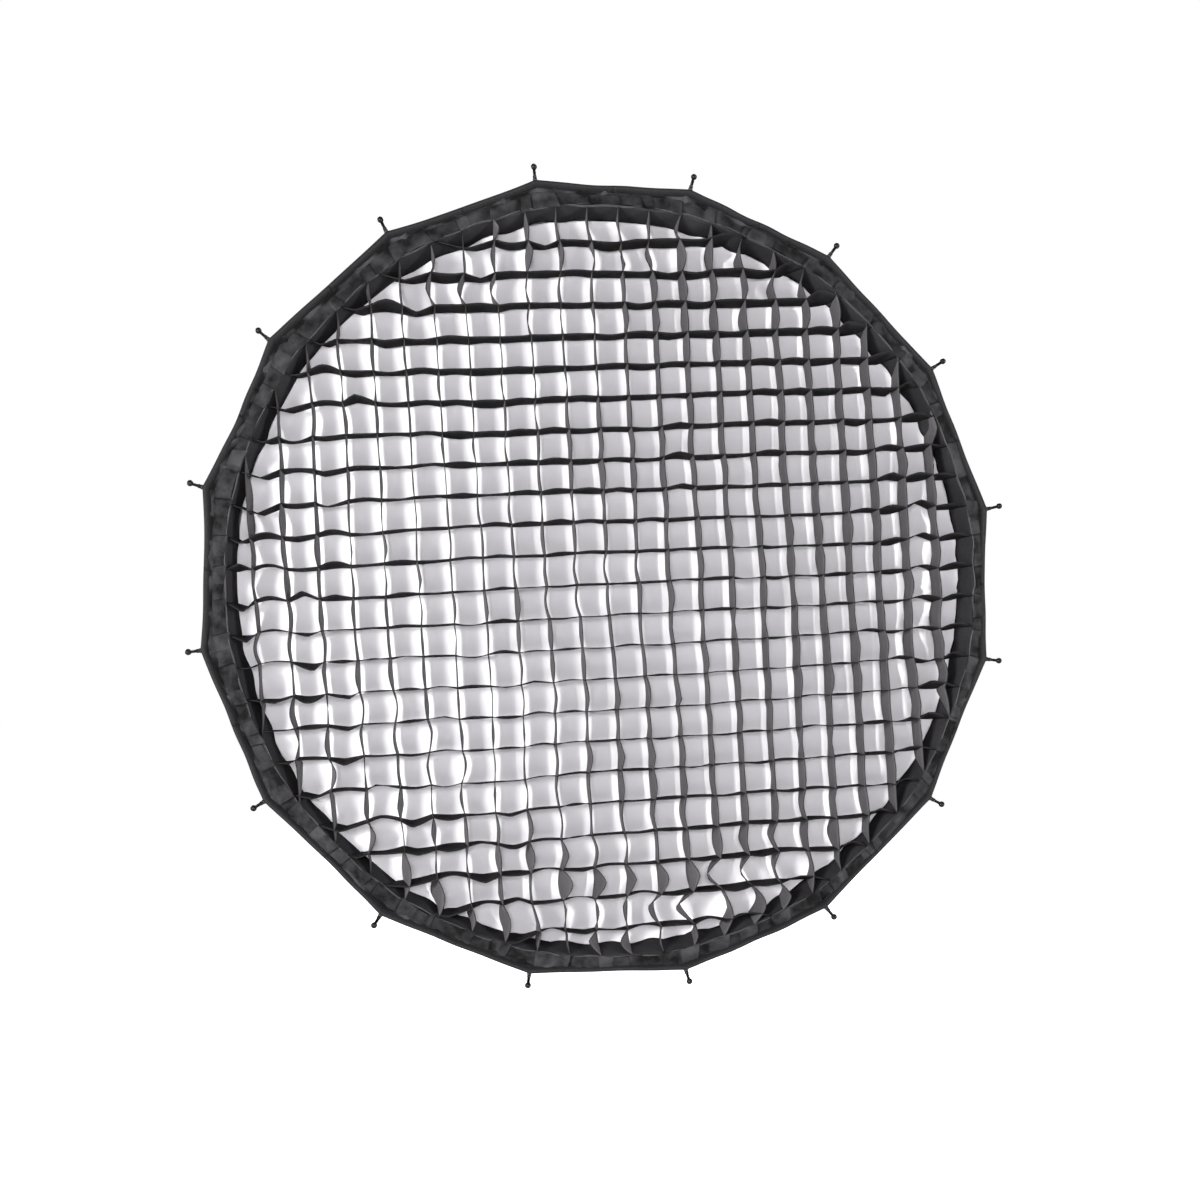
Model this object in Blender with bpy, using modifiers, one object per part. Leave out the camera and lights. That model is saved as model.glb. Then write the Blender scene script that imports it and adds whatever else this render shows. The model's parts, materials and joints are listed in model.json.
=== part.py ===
"""A sixteen-rod folding octabox with its bayonet hub, inner baffle, front diffuser and fabric grid.

Everything is built with the box's axis along local +Z: local Z runs forward from the seat on the light.
One empty then turns the whole box, so that in the world the front faces -Y, +Z is up and the origin is
the centre of the seat. Metres throughout.
"""

import math

import bmesh
import bpy
from mathutils import Matrix

# ---- driving dimensions ----
ROD_COUNT = 16
FIRST_ROD_ANGLE = math.radians(11.25)  # the top, bottom and side edges of the rim are then level or upright
STEP_ANGLE = 2 * math.pi / ROD_COUNT

RIM_ROD_R = 0.603  # from the axis to a rod's centre line, at the rim
PIVOT_R = 0.088  # circle of the rods' hinges
PIVOT_Z = 0.023
ROD_STRAIGHT = 0.045  # straight stretch from the hinge, before the rod's bow starts
HUB_SLOPE = math.radians(64)  # rod against the box's axis, at the hub
RIM_SLOPE = math.radians(40)  # and at the rim
ROD_RADIUS = 0.0025
ROD_TIP_LENGTH = 0.021  # rod past the rim, up to the middle of its ball
BALL_RADIUS = 0.0046

GAP = 0.0003  # between pieces that touch or nearly touch

RING_R = 0.100  # outside of the speed ring
RING_FRONT_CHAMFER = 0.003
RING_BACK_CHAMFER = 0.002

# bayonet insert, the piece that locks on the light
BORE_R = 0.047
LUG_ROOT_R = 0.0488  # inside the spigot's wall, so that lug and wall join
LUG_SETBACK = 0.0004  # lug's face from the spigot's end
FLANGE_R = 0.0745
FLANGE_T = 0.0042
NECK_R = 0.0532
NECK_FRONT = 0.0265
SPIGOT_R = 0.0500
SPIGOT_LENGTH = 0.0105
LUG_R = 0.0570
LUG_T = 0.0035
LUG_COUNT = 3
LUG_ARC = math.radians(32)

# speed ring, the hub that carries the rods
RING_BACK = FLANGE_T + GAP
RING_FRONT = NECK_FRONT
RING_BORE_R = NECK_R + GAP
SLOT_INNER_R = 0.0813
SLOT_WIDTH = 0.0100
SLOT_FLOOR = 0.0165
WIRE_RADIUS = 0.0016
COVER_R = 0.0985
COVER_INNER_R = 0.0655
COVER_T = 0.0020
RETAINER_INNER_R = 0.0475
RETAINER_R = 0.0625
RETAINER_T = 0.0025
SCREW_COUNT = 3
SCREW_SHANK_R = 0.0015
SCREW_HEAD_R = 0.0026
SCREW_HEAD_T = 0.0018
RETAINER_SCREW_R = 0.0501  # circle of the screws' centres
RETAINER_SCREW_LENGTH = 0.0125
COVER_SCREW_R = 0.0715
COVER_SCREW_LENGTH = 0.0090
CLEAR = 0.01  # how far a cutter runs past what it cuts

# knuckles, the hinge sockets of the rods
EYE_RADIUS = 0.0060
EYE_HOLE_R = 0.0020
KNUCKLE_LENGTH = 0.0420
KNUCKLE_WIDTH = 0.0090
SOCKET_START = 0.0120
SOCKET_R = ROD_RADIUS + 0.0004
SOCKET_END_GAP = 0.0005  # from the bottom of the socket to the rod's end
ROD_BENDS = 9  # straight pieces that make up a rod's bow

# lock knob
KNOB_ANGLE = math.radians(-90)
KNOB_Z = 0.0105
KNOB_R = 0.0090
KNOB_NOTCH = 0.0013
KNOB_HEAD_R_LOW = RING_R + 0.0015
KNOB_HEAD_LENGTH = 0.0130
KNOB_SHANK_R = 0.0020

# soft parts
SHELL_OFFSET = 0.0042  # middle of the shell's cloth, inside the rods' centre lines
SHELL_T = 0.0020
SHELL_RINGS = 11
SHELL_START = 0.003  # past the start of the rods' bow
COLLAR_T = 0.0015
COLLAR_START = 0.014  # along the rods, from their hinges
COLLAR_CLEAR = 0.002
LIP_DEPTH = 0.038  # how far the lip's tape runs back from the rim
LIP_T = 0.0012
PIPING_R = 0.0028
PIPING_SIDES = 8
DIFFUSER_BEHIND_RIM = 0.0500
DIFFUSER_T = 0.0012
DIFFUSER_CLEAR = 0.0020  # between the diffuser's edge and the lip's tape
GRID_DEPTH = 0.0400
GRID_BEHIND_RIM = 0.0010
GRID_CLEAR = 0.0010  # between the grid's border and the lip's tape
GRID_WALL = 0.0020
GRID_CELL = 0.0471  # from one wall's middle to the next
GRID_TURN = math.radians(3.86)
GRID_SHIFT = (0.0223, 0.0134)  # from the axis to the middle of the nearest cell, in the grid's own directions
GRID_BORDER_T = 0.0015
SMALLEST_CELL = 0.1  # a cut-off cell under this share of a whole one stays solid
BAFFLE_R = 0.300
BAFFLE_Z = 0.205
BAFFLE_T = 0.0012
STRAP_COUNT = 8
STRAP_WIDTH = 0.012
STRAP_T = 0.0012
STRAP_CLEAR = 0.004  # between a strap's end and the shell

# ---- the rod's curve, a straight and then one arc, in the plane of the rod ----
ARC_START_R = PIVOT_R + ROD_STRAIGHT * math.sin(HUB_SLOPE)
ARC_START_Z = PIVOT_Z + ROD_STRAIGHT * math.cos(HUB_SLOPE)
ARC_RADIUS = (RIM_ROD_R - ARC_START_R) / (math.cos(RIM_SLOPE) - math.cos(HUB_SLOPE))
ARC_CENTRE_R = ARC_START_R - ARC_RADIUS * math.cos(HUB_SLOPE)
ARC_CENTRE_Z = ARC_START_Z + ARC_RADIUS * math.sin(HUB_SLOPE)
RIM_Z = ARC_CENTRE_Z - ARC_RADIUS * math.sin(RIM_SLOPE)


def arc_point(slope, inside=0.0):
    """(distance from the axis, Z) where the rod has this slope, moved inside the box by some distance."""
    radius = ARC_RADIUS - inside
    return ARC_CENTRE_R + radius * math.cos(slope), ARC_CENTRE_Z - radius * math.sin(slope)


def slope_at(z, inside=0.0):
    return math.asin((ARC_CENTRE_Z - z) / (ARC_RADIUS - inside))


def corner_radius(z, inside):
    """Distance from the axis to the corner of a section of the box, at this Z."""
    return arc_point(slope_at(z, inside), inside)[0]


def rod_angle(index):
    return FIRST_ROD_ANGLE + index * STEP_ANGLE


# ---- scene, collections, materials ----
for old in list(bpy.data.objects):
    bpy.data.objects.remove(old, do_unlink=True)

PARTS = bpy.data.collections.new("octabox")
CUTTERS = bpy.data.collections.new("octabox_cutters")
for collection in (PARTS, CUTTERS):
    bpy.context.scene.collection.children.link(collection)


def material(name, colour, roughness, metallic=0.0):
    made = bpy.data.materials.new(name)
    made.use_nodes = True
    shader = made.node_tree.nodes["Principled BSDF"]
    shader.inputs["Base Color"].default_value = (*colour, 1.0)
    shader.inputs["Roughness"].default_value = roughness
    shader.inputs["Metallic"].default_value = metallic
    made.diffuse_color = (*colour, 1.0)
    return made


BLACK_CLOTH = material("black_cloth", (0.020, 0.020, 0.022), 0.85)
GRID_CLOTH = material("grid_cloth", (0.030, 0.029, 0.031), 0.85)
WHITE_CLOTH = material("white_cloth", (0.85, 0.85, 0.86), 0.75)
ELASTIC = material("elastic", (0.04, 0.04, 0.042), 0.8)
ROD_BLACK = material("rod_black", (0.015, 0.015, 0.016), 0.35)
CAST_BLACK = material("cast_black", (0.03, 0.03, 0.032), 0.45, 0.6)
PLATE_STEEL = material("plate_steel", (0.55, 0.55, 0.57), 0.35, 1.0)
SCREW_STEEL = material("screw_steel", (0.35, 0.35, 0.36), 0.3, 1.0)
KNUCKLE_PLASTIC = material("knuckle_plastic", (0.03, 0.03, 0.03), 0.5)
KNOB_RUBBER = material("knob_rubber", (0.02, 0.02, 0.02), 0.6)

AXIS = bpy.data.objects.new("box_axis", None)
AXIS.rotation_euler = (math.radians(90), 0, 0)  # local +Z, forward, becomes world -Y
PARTS.objects.link(AXIS)


def empty(name, parent, location=(0, 0, 0), rotation=(0, 0, 0)):
    made = bpy.data.objects.new(name, None)
    made.parent = parent
    made.location = location
    made.rotation_euler = rotation
    PARTS.objects.link(made)
    return made


def place(name, data, finish, parent, location=(0, 0, 0), rotation=(0, 0, 0)):
    made = bpy.data.objects.new(name, data)
    made.parent = parent
    made.location = location
    made.rotation_euler = rotation
    if not data.materials:
        data.materials.append(finish)
    PARTS.objects.link(made)
    return made


def place_cutter(name, data, parent, location=(0, 0, 0), rotation=(0, 0, 0)):
    made = bpy.data.objects.new(name, data)
    made.parent = parent
    made.location = location
    made.rotation_euler = rotation
    made.hide_render = True
    made.display_type = "WIRE"
    CUTTERS.objects.link(made)
    return made


def cut(target, cutter):
    modifier = target.modifiers.new("cut " + cutter.name, "BOOLEAN")
    modifier.operation = "DIFFERENCE"
    modifier.object = cutter


def join(target, other):
    modifier = target.modifiers.new("join " + other.name, "BOOLEAN")
    modifier.operation = "UNION"
    modifier.object = other


# ---- shapes ----
def turned(name, profile, steps, finish, parent, closed=True, thickness=0.0, turn=0.0):
    """A profile of (radius, z) points turned about the axis; an open profile is thickened to a sheet."""
    data = bpy.data.meshes.new(name)
    edges = [(i, i + 1) for i in range(len(profile) - 1)]
    if closed:
        edges.append((len(profile) - 1, 0))
    data.from_pydata([(r, 0.0, z) for r, z in profile], edges, [])
    made = place(name, data, finish, parent, rotation=(0, 0, turn))
    screw = made.modifiers.new("turn", "SCREW")
    screw.axis = "Z"
    screw.steps = steps
    screw.render_steps = steps
    screw.use_merge_vertices = True
    screw.merge_threshold = 0.00001
    if not closed:
        thick = made.modifiers.new("thickness", "SOLIDIFY")
        thick.thickness = thickness
        thick.offset = 0.0
    return made


def rectangle(r_low, r_high, z_low, z_high):
    """A closed profile, its outer side running from top to bottom."""
    return [(r_high, z_high), (r_high, z_low), (r_low, z_low), (r_low, z_high)]


def cylinder_mesh(name, radius, low, high, sides, offset=(0.0, 0.0)):
    """A cylinder along Z from low to high, its axis at offset."""
    data = bpy.data.meshes.new(name)
    shape = bmesh.new()
    bmesh.ops.create_cone(
        shape, cap_ends=True, segments=sides, radius1=radius, radius2=radius, depth=high - low
    )
    bmesh.ops.translate(shape, verts=shape.verts, vec=(offset[0], offset[1], (low + high) / 2))
    shape.to_mesh(data)
    shape.free()
    return data


def box_mesh(name, low, high):
    data = bpy.data.meshes.new(name)
    shape = bmesh.new()
    bmesh.ops.create_cube(shape, size=1.0)
    for vertex in shape.verts:
        vertex.co = [low[i] + (vertex.co[i] + 0.5) * (high[i] - low[i]) for i in range(3)]
    shape.to_mesh(data)
    shape.free()
    return data


def repeated_mesh(name, pattern, angles):
    """Copies of one mesh, turned about the axis, in one mesh."""
    shape = bmesh.new()
    for angle in angles:
        before = set(shape.verts)
        shape.from_mesh(pattern)
        new = [vertex for vertex in shape.verts if vertex not in before]
        bmesh.ops.rotate(shape, verts=new, cent=(0, 0, 0), matrix=Matrix.Rotation(angle, 3, "Z"))
    data = bpy.data.meshes.new(name)
    shape.to_mesh(data)
    shape.free()
    return data


def evenly(count, first=0.0):
    return [first + 2 * math.pi * i / count for i in range(count)]


def plate_mesh(name, outlines, thickness):
    """A flat plate across Z, from its outline and its holes, made as a filled curve."""
    curve = bpy.data.curves.new(name, "CURVE")
    curve.dimensions = "2D"
    curve.fill_mode = "BOTH"
    curve.extrude = thickness / 2
    for outline in outlines:
        spline = curve.splines.new("POLY")
        spline.points.add(len(outline) - 1)
        for point, (x, y) in zip(spline.points, outline):
            point.co = (x, y, 0, 1)
        spline.use_cyclic_u = True
    holder = bpy.data.objects.new(name, curve)
    PARTS.objects.link(holder)
    bpy.context.view_layer.update()
    graph = bpy.context.evaluated_depsgraph_get()
    data = bpy.data.meshes.new_from_object(holder.evaluated_get(graph))
    bpy.data.objects.remove(holder, do_unlink=True)
    shape = bmesh.new()
    shape.from_mesh(data)
    bmesh.ops.remove_doubles(shape, verts=shape.verts, dist=0.00001)
    bmesh.ops.recalc_face_normals(shape, faces=shape.faces)
    shape.to_mesh(data)
    shape.free()
    data.name = name
    return data


def circle_points(radius, count, centre=(0.0, 0.0), first=0.0):
    return [
        (centre[0] + radius * math.cos(a), centre[1] + radius * math.sin(a))
        for a in evenly(count, first)
    ]


def screw_holes(name, circle_r, screw_length, first, parent):
    """A cutter for the screws' holes, from below their ends to well past the face that they enter."""
    hole = cylinder_mesh(
        name, SCREW_SHANK_R + GAP, NECK_FRONT - screw_length, NECK_FRONT + CLEAR, 10, (circle_r, 0)
    )
    return place_cutter(name, repeated_mesh(name, hole, evenly(SCREW_COUNT, first)), parent)


def screw_mesh(name, shank_length):
    """A cheese-head screw: head in front of Z = 0, shank behind it, with a recess in the head."""
    recess_r = SCREW_HEAD_R * 0.5
    recess_floor = SCREW_HEAD_T * 0.4
    profile = [
        (0.0, recess_floor), (recess_r, recess_floor), (recess_r, SCREW_HEAD_T),
        (SCREW_HEAD_R, SCREW_HEAD_T), (SCREW_HEAD_R, 0.0), (SCREW_SHANK_R, 0.0),
        (SCREW_SHANK_R, -shank_length), (0.0, -shank_length),
    ]
    shape = bmesh.new()
    points = [shape.verts.new((r, 0, z)) for r, z in profile]
    lines = [shape.edges.new(pair) for pair in zip(points, points[1:])]
    bmesh.ops.spin(
        shape, geom=points + lines, cent=(0, 0, 0), axis=(0, 0, 1), angle=2 * math.pi,
        steps=12, use_merge=True,
    )
    bmesh.ops.remove_doubles(shape, verts=shape.verts, dist=0.00001)
    bmesh.ops.recalc_face_normals(shape, faces=shape.faces)
    data = bpy.data.meshes.new(name)
    shape.to_mesh(data)
    shape.free()
    return data


# ---- bayonet insert ----
def make_insert():
    profile = [
        (SPIGOT_R, -SPIGOT_LENGTH), (BORE_R, -SPIGOT_LENGTH), (BORE_R, NECK_FRONT),
        (NECK_R, NECK_FRONT), (NECK_R, FLANGE_T), (FLANGE_R, FLANGE_T), (FLANGE_R, 0.0), (SPIGOT_R, 0.0),
    ]
    insert = turned("bayonet_insert", profile, 48, PLATE_STEEL, AXIS)
    lug_outline = [
        (LUG_R * math.cos(a), LUG_R * math.sin(a))
        for a in [LUG_ARC * (i / 4 - 0.5) for i in range(5)]
    ] + [
        (LUG_ROOT_R * math.cos(a), LUG_ROOT_R * math.sin(a))
        for a in [LUG_ARC * (0.5 - i / 4) for i in range(5)]
    ]
    lug = plate_mesh("lug", [lug_outline], LUG_T)
    lugs = repeated_mesh("lugs", lug, evenly(LUG_COUNT, math.radians(90)))
    lug_object = place_cutter("lugs", lugs, AXIS, (0, 0, LUG_SETBACK + LUG_T / 2 - SPIGOT_LENGTH))
    join(insert, lug_object)
    holes = screw_holes("insert_screw_holes", RETAINER_SCREW_R, RETAINER_SCREW_LENGTH, 0.0, AXIS)
    cut(insert, holes)

    retainer_back = NECK_FRONT + GAP
    retainer = turned(
        "insert_retaining_ring",
        rectangle(RETAINER_INNER_R, RETAINER_R, retainer_back, retainer_back + RETAINER_T),
        48, PLATE_STEEL, AXIS,
    )
    cut(retainer, holes)
    screw = screw_mesh("retaining_screw", RETAINER_SCREW_LENGTH)
    for index, angle in enumerate(evenly(SCREW_COUNT)):
        spot = (
            RETAINER_SCREW_R * math.cos(angle), RETAINER_SCREW_R * math.sin(angle),
            retainer_back + RETAINER_T + GAP,
        )
        place(f"retaining_screw_{index + 1}", screw, SCREW_STEEL, AXIS, spot)


# ---- speed ring ----
def make_speed_ring(ring_axis):
    ring = turned(
        "speed_ring",
        [
            (RING_R - RING_FRONT_CHAMFER, RING_FRONT), (RING_R, RING_FRONT - RING_FRONT_CHAMFER),
            (RING_R, RING_BACK + RING_BACK_CHAMFER), (RING_R - RING_BACK_CHAMFER, RING_BACK),
            (RING_BORE_R, RING_BACK), (RING_BORE_R, RING_FRONT),
        ],
        64, CAST_BLACK, ring_axis,
    )
    half = SLOT_WIDTH / 2
    slot = box_mesh(
        "slot", (SLOT_INNER_R, -half, SLOT_FLOOR), (RING_R + CLEAR, half, RING_FRONT + CLEAR)
    )
    rods = [rod_angle(i) for i in range(ROD_COUNT)]
    slots = place_cutter("rod_slots", repeated_mesh("slots", slot, rods), ring_axis)
    cut(ring, slots)
    groove = turned(
        "wire_groove",
        rectangle(
            PIVOT_R - WIRE_RADIUS - GAP, PIVOT_R + WIRE_RADIUS + GAP,
            PIVOT_Z - WIRE_RADIUS - GAP, RING_FRONT + CLEAR,
        ),
        64, CAST_BLACK, ring_axis,
    )
    PARTS.objects.unlink(groove)
    CUTTERS.objects.link(groove)
    groove.hide_render = True
    groove.display_type = "WIRE"
    cut(ring, groove)
    knob_hole = place_cutter(
        "knob_hole",
        cylinder_mesh("knob_hole", KNOB_SHANK_R + GAP, RING_BORE_R - CLEAR, RING_R + CLEAR, 12),
        ring_axis,
        (0, 0, KNOB_Z),
        (0, math.radians(90), KNOB_ANGLE),
    )
    cut(ring, knob_hole)

    cover_back = RING_FRONT + GAP
    cover = turned(
        "speed_ring_cover",
        rectangle(COVER_INNER_R, COVER_R, cover_back, cover_back + COVER_T),
        64, CAST_BLACK, ring_axis,
    )
    cut(cover, slots)
    first = rod_angle(0) + STEP_ANGLE / 2
    holes = screw_holes("cover_screw_holes", COVER_SCREW_R, COVER_SCREW_LENGTH, first, ring_axis)
    cut(ring, holes)
    cut(cover, holes)
    screw = screw_mesh("cover_screw", COVER_SCREW_LENGTH)
    for index, angle in enumerate(evenly(SCREW_COUNT, first)):
        spot = (
            COVER_SCREW_R * math.cos(angle), COVER_SCREW_R * math.sin(angle), cover_back + COVER_T + GAP,
        )
        place(f"cover_screw_{index + 1}", screw, SCREW_STEEL, ring_axis, spot)

    wire = [
        (PIVOT_R + WIRE_RADIUS * math.cos(a), PIVOT_Z + WIRE_RADIUS * math.sin(a))
        for a in [-2 * math.pi * i / 6 for i in range(6)]
    ]
    turned("pivot_wire", wire, 64, SCREW_STEEL, ring_axis, turn=rod_angle(0))


def make_knob(ring_axis):
    """A thumbscrew through the wall of the speed ring, its screw clamping the neck of the insert."""
    turner = empty("knob_axis", ring_axis, (0, 0, KNOB_Z), (0, math.radians(90), KNOB_ANGLE))
    outline = []
    for index, angle in enumerate(evenly(24)):
        radius = KNOB_R if index % 3 else KNOB_R - KNOB_NOTCH
        outline.append((radius * math.cos(angle), radius * math.sin(angle)))
    head = place_cutter(
        "knob_head", plate_mesh("knob_head", [outline], KNOB_HEAD_LENGTH), turner,
        (0, 0, KNOB_HEAD_R_LOW + KNOB_HEAD_LENGTH / 2),
    )
    shank_end = KNOB_HEAD_R_LOW + KNOB_HEAD_LENGTH / 2
    shank = cylinder_mesh("lock_knob", KNOB_SHANK_R, RING_BORE_R + GAP, shank_end, 10)
    knob = place("lock_knob", shank, KNOB_RUBBER, turner)
    join(knob, head)


# ---- rods and knuckles ----
def knuckle_mesh():
    """The hinge socket at its rest angle: X outward, Y along the hinge, Z forward, origin on the hinge."""
    half = KNUCKLE_WIDTH / 2
    reach = math.sqrt(EYE_RADIUS ** 2 - half ** 2)
    turn = math.atan2(half, reach)
    eye = [
        (EYE_RADIUS * math.cos(a), EYE_RADIUS * math.sin(a))
        for a in [turn + (2 * math.pi - 2 * turn) * i / 9 for i in range(10)]
    ]
    outline = eye + [(KNUCKLE_LENGTH, -half), (KNUCKLE_LENGTH, half)]
    plate = plate_mesh("knuckle", [outline, circle_points(EYE_HOLE_R, 8)], KNUCKLE_WIDTH)
    blank = place("knuckle_blank", plate, KNUCKLE_PLASTIC, None)
    corner_r = SOCKET_R / math.cos(math.pi / 8)
    socket = cylinder_mesh("knuckle_socket", corner_r, SOCKET_START, KNUCKLE_LENGTH + CLEAR, 8)
    bore = place_cutter("knuckle_socket", socket, None, rotation=(0, math.radians(90), 0))
    cut(blank, bore)
    bpy.context.view_layer.update()
    graph = bpy.context.evaluated_depsgraph_get()
    data = bpy.data.meshes.new_from_object(blank.evaluated_get(graph))
    bpy.data.objects.remove(blank, do_unlink=True)
    # The plate lies in X and Y. It is stood up into X and Z, and leaned to the rod's slope at the hub.
    lean = math.radians(90) - HUB_SLOPE
    for vertex in data.vertices:
        along, across, side = vertex.co
        vertex.co = (
            along * math.cos(lean) - across * math.sin(lean), -side,
            along * math.sin(lean) + across * math.cos(lean),
        )
    data.name = "knuckle"
    return data


def rod_points():
    """(x outward, z forward, radius) down a rod, from its socket to its ball."""
    start = SOCKET_START + SOCKET_END_GAP
    points = [
        (PIVOT_R + s * math.sin(HUB_SLOPE), PIVOT_Z + s * math.cos(HUB_SLOPE), ROD_RADIUS)
        for s in (start, ROD_STRAIGHT)
    ]
    for i in range(1, ROD_BENDS + 1):
        slope = HUB_SLOPE + (RIM_SLOPE - HUB_SLOPE) * i / ROD_BENDS
        points.append((*arc_point(slope), ROD_RADIUS))
    end_r, end_z = arc_point(RIM_SLOPE)
    ball = [(-0.92, 0.40), (-0.5, 0.87), (0.0, 1.0), (0.6, 0.8), (0.95, 0.32)]
    for along, across in ball:
        s = ROD_TIP_LENGTH + along * BALL_RADIUS
        radius = max(across * BALL_RADIUS, ROD_RADIUS if along < -0.9 else 0.0)
        points.append((end_r + s * math.sin(RIM_SLOPE), end_z + s * math.cos(RIM_SLOPE), radius))
    return points


def rod_curve():
    """A rod in its hinge's frame, as a bevelled line whose radius swells to the ball at its end."""
    curve = bpy.data.curves.new("rod", "CURVE")
    curve.dimensions = "3D"
    curve.bevel_depth = ROD_RADIUS
    curve.bevel_resolution = 2
    curve.use_fill_caps = True
    curve.twist_mode = "Z_UP"
    points = rod_points()
    spline = curve.splines.new("POLY")
    spline.points.add(len(points) - 1)
    for point, (x, z, radius) in zip(spline.points, points):
        point.co = (x - PIVOT_R, 0.0, z - PIVOT_Z, 1)
        point.radius = radius / ROD_RADIUS
    return curve


def make_rods(ring_axis):
    knuckle = knuckle_mesh()
    rod = rod_curve()
    for index in range(ROD_COUNT):
        angle = rod_angle(index)
        hinge = empty(
            f"rod_hinge_{index + 1:02d}", ring_axis,
            (PIVOT_R * math.cos(angle), PIVOT_R * math.sin(angle), PIVOT_Z), (0, 0, angle),
        )
        place(f"rod_knuckle_{index + 1:02d}", knuckle, KNUCKLE_PLASTIC, hinge)
        place(f"rod_{index + 1:02d}", rod, ROD_BLACK, hinge)


# ---- soft parts: plain sheets of the right size, sixteen-sided like the rim ----
def sheet(name, profile, thickness, finish, parent):
    return turned(name, profile, ROD_COUNT, finish, parent, False, thickness, rod_angle(0))


def make_shell(ring_axis):
    first = slope_at(ARC_START_Z + SHELL_START, SHELL_OFFSET)
    slopes = [first + (RIM_SLOPE - first) * i / (SHELL_RINGS - 1) for i in range(SHELL_RINGS)]
    sheet("outer_shell", [arc_point(s, SHELL_OFFSET) for s in slopes], SHELL_T, BLACK_CLOTH, ring_axis)

    away = KNUCKLE_WIDTH / 2 + COLLAR_CLEAR
    collar = []
    for s in (COLLAR_START, ROD_STRAIGHT - COLLAR_CLEAR):
        r = PIVOT_R + s * math.sin(HUB_SLOPE) - away * math.cos(HUB_SLOPE)
        z = PIVOT_Z + s * math.cos(HUB_SLOPE) + away * math.sin(HUB_SLOPE)
        collar.append((r, z))
    sheet("rear_collar", collar, COLLAR_T, ELASTIC, ring_axis)

    inside = SHELL_OFFSET + SHELL_T / 2 + LIP_T / 2 + GAP
    back = slope_at(RIM_Z - LIP_DEPTH, inside)
    sheet("lip_hook_tape", [arc_point(s, inside) for s in (back, RIM_SLOPE)], LIP_T, ELASTIC, ring_axis)

    rim_r, rim_z = arc_point(RIM_SLOPE, ROD_RADIUS + PIPING_R + 2 * GAP)
    away = PIPING_R + GAP
    centre = (rim_r + away * math.sin(RIM_SLOPE), rim_z + away * math.cos(RIM_SLOPE))
    piping = [
        (centre[0] + PIPING_R * math.cos(a), centre[1] + PIPING_R * math.sin(a))
        for a in [-2 * math.pi * i / PIPING_SIDES for i in range(PIPING_SIDES)]
    ]
    turned("rim_piping", piping, ROD_COUNT, BLACK_CLOTH, ring_axis, turn=rod_angle(0))


def disc(name, radius, z, thickness, finish, parent):
    low, high = z - thickness / 2, z + thickness / 2
    data = cylinder_mesh(name, radius, low, high, ROD_COUNT)
    return place(name, data, finish, parent, rotation=(0, 0, rod_angle(0)))


def make_diffusers(ring_axis):
    z = RIM_Z - DIFFUSER_BEHIND_RIM
    clear = SHELL_OFFSET + SHELL_T / 2 + LIP_T + 2 * GAP + DIFFUSER_CLEAR
    disc("front_diffuser", corner_radius(z - DIFFUSER_T, clear), z, DIFFUSER_T, WHITE_CLOTH, ring_axis)

    disc("inner_baffle", BAFFLE_R, BAFFLE_Z, BAFFLE_T, WHITE_CLOTH, ring_axis)
    shell_r = corner_radius(BAFFLE_Z - STRAP_T, SHELL_OFFSET + SHELL_T / 2 + GAP)
    strap = box_mesh(
        "baffle_strap", (BAFFLE_R + GAP, -STRAP_WIDTH / 2, BAFFLE_Z - STRAP_T / 2),
        (shell_r - STRAP_CLEAR, STRAP_WIDTH / 2, BAFFLE_Z + STRAP_T / 2),
    )
    for index, angle in enumerate(evenly(STRAP_COUNT, rod_angle(0))):
        place(f"baffle_strap_{index + 1}", strap, ELASTIC, ring_axis, rotation=(0, 0, angle))


def clip(outline, normal_angle, distance):
    """The part of a convex outline on the near side of a line."""
    nx, ny = math.cos(normal_angle), math.sin(normal_angle)
    kept = []
    for (ax, ay), (bx, by) in zip(outline, outline[1:] + outline[:1]):
        a, b = ax * nx + ay * ny - distance, bx * nx + by * ny - distance
        if a <= 0:
            kept.append((ax, ay))
        if (a < 0 < b) or (b < 0 < a):
            t = a / (a - b)
            kept.append((ax + (bx - ax) * t, ay + (by - ay) * t))
    return kept


def area(outline):
    pairs = zip(outline, outline[1:] + outline[:1])
    return sum(ax * by - bx * ay for (ax, ay), (bx, by) in pairs) / 2


def make_grid(ring_axis):
    front = RIM_Z - GRID_BEHIND_RIM
    back = front - GRID_DEPTH
    clear = SHELL_OFFSET + SHELL_T / 2 + LIP_T + 2 * GAP + GRID_CLEAR
    border_r = corner_radius(back, clear)
    flat = math.cos(STEP_ANGLE / 2)
    border_inner = border_r - GRID_BORDER_T / flat
    turned(
        "grid_border", rectangle(border_inner, border_r, back, front), ROD_COUNT, ELASTIC, ring_axis,
        turn=rod_angle(0),
    )
    grid_r = border_inner - GAP / flat
    holes = []
    span = math.ceil(grid_r / GRID_CELL) + 1
    half = (GRID_CELL - GRID_WALL) / 2
    inner_flat = grid_r * flat - GRID_WALL
    for column in range(-span, span + 1):
        for row in range(-span, span + 1):
            x, y = column * GRID_CELL + GRID_SHIFT[0], row * GRID_CELL + GRID_SHIFT[1]
            cell = [(x - half, y - half), (x + half, y - half), (x + half, y + half), (x - half, y + half)]
            for side in range(ROD_COUNT):
                cell = clip(cell, rod_angle(side) + STEP_ANGLE / 2 - GRID_TURN, inner_flat)
            if len(cell) > 2 and area(cell) > SMALLEST_CELL * GRID_CELL ** 2:
                holes.append(cell)
    outline = circle_points(grid_r, ROD_COUNT, first=rod_angle(0) - GRID_TURN)
    lattice = plate_mesh("fabric_grid", [outline] + holes, GRID_DEPTH)
    place("fabric_grid", lattice, GRID_CLOTH, ring_axis, (0, 0, (front + back) / 2), (0, 0, GRID_TURN))


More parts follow.
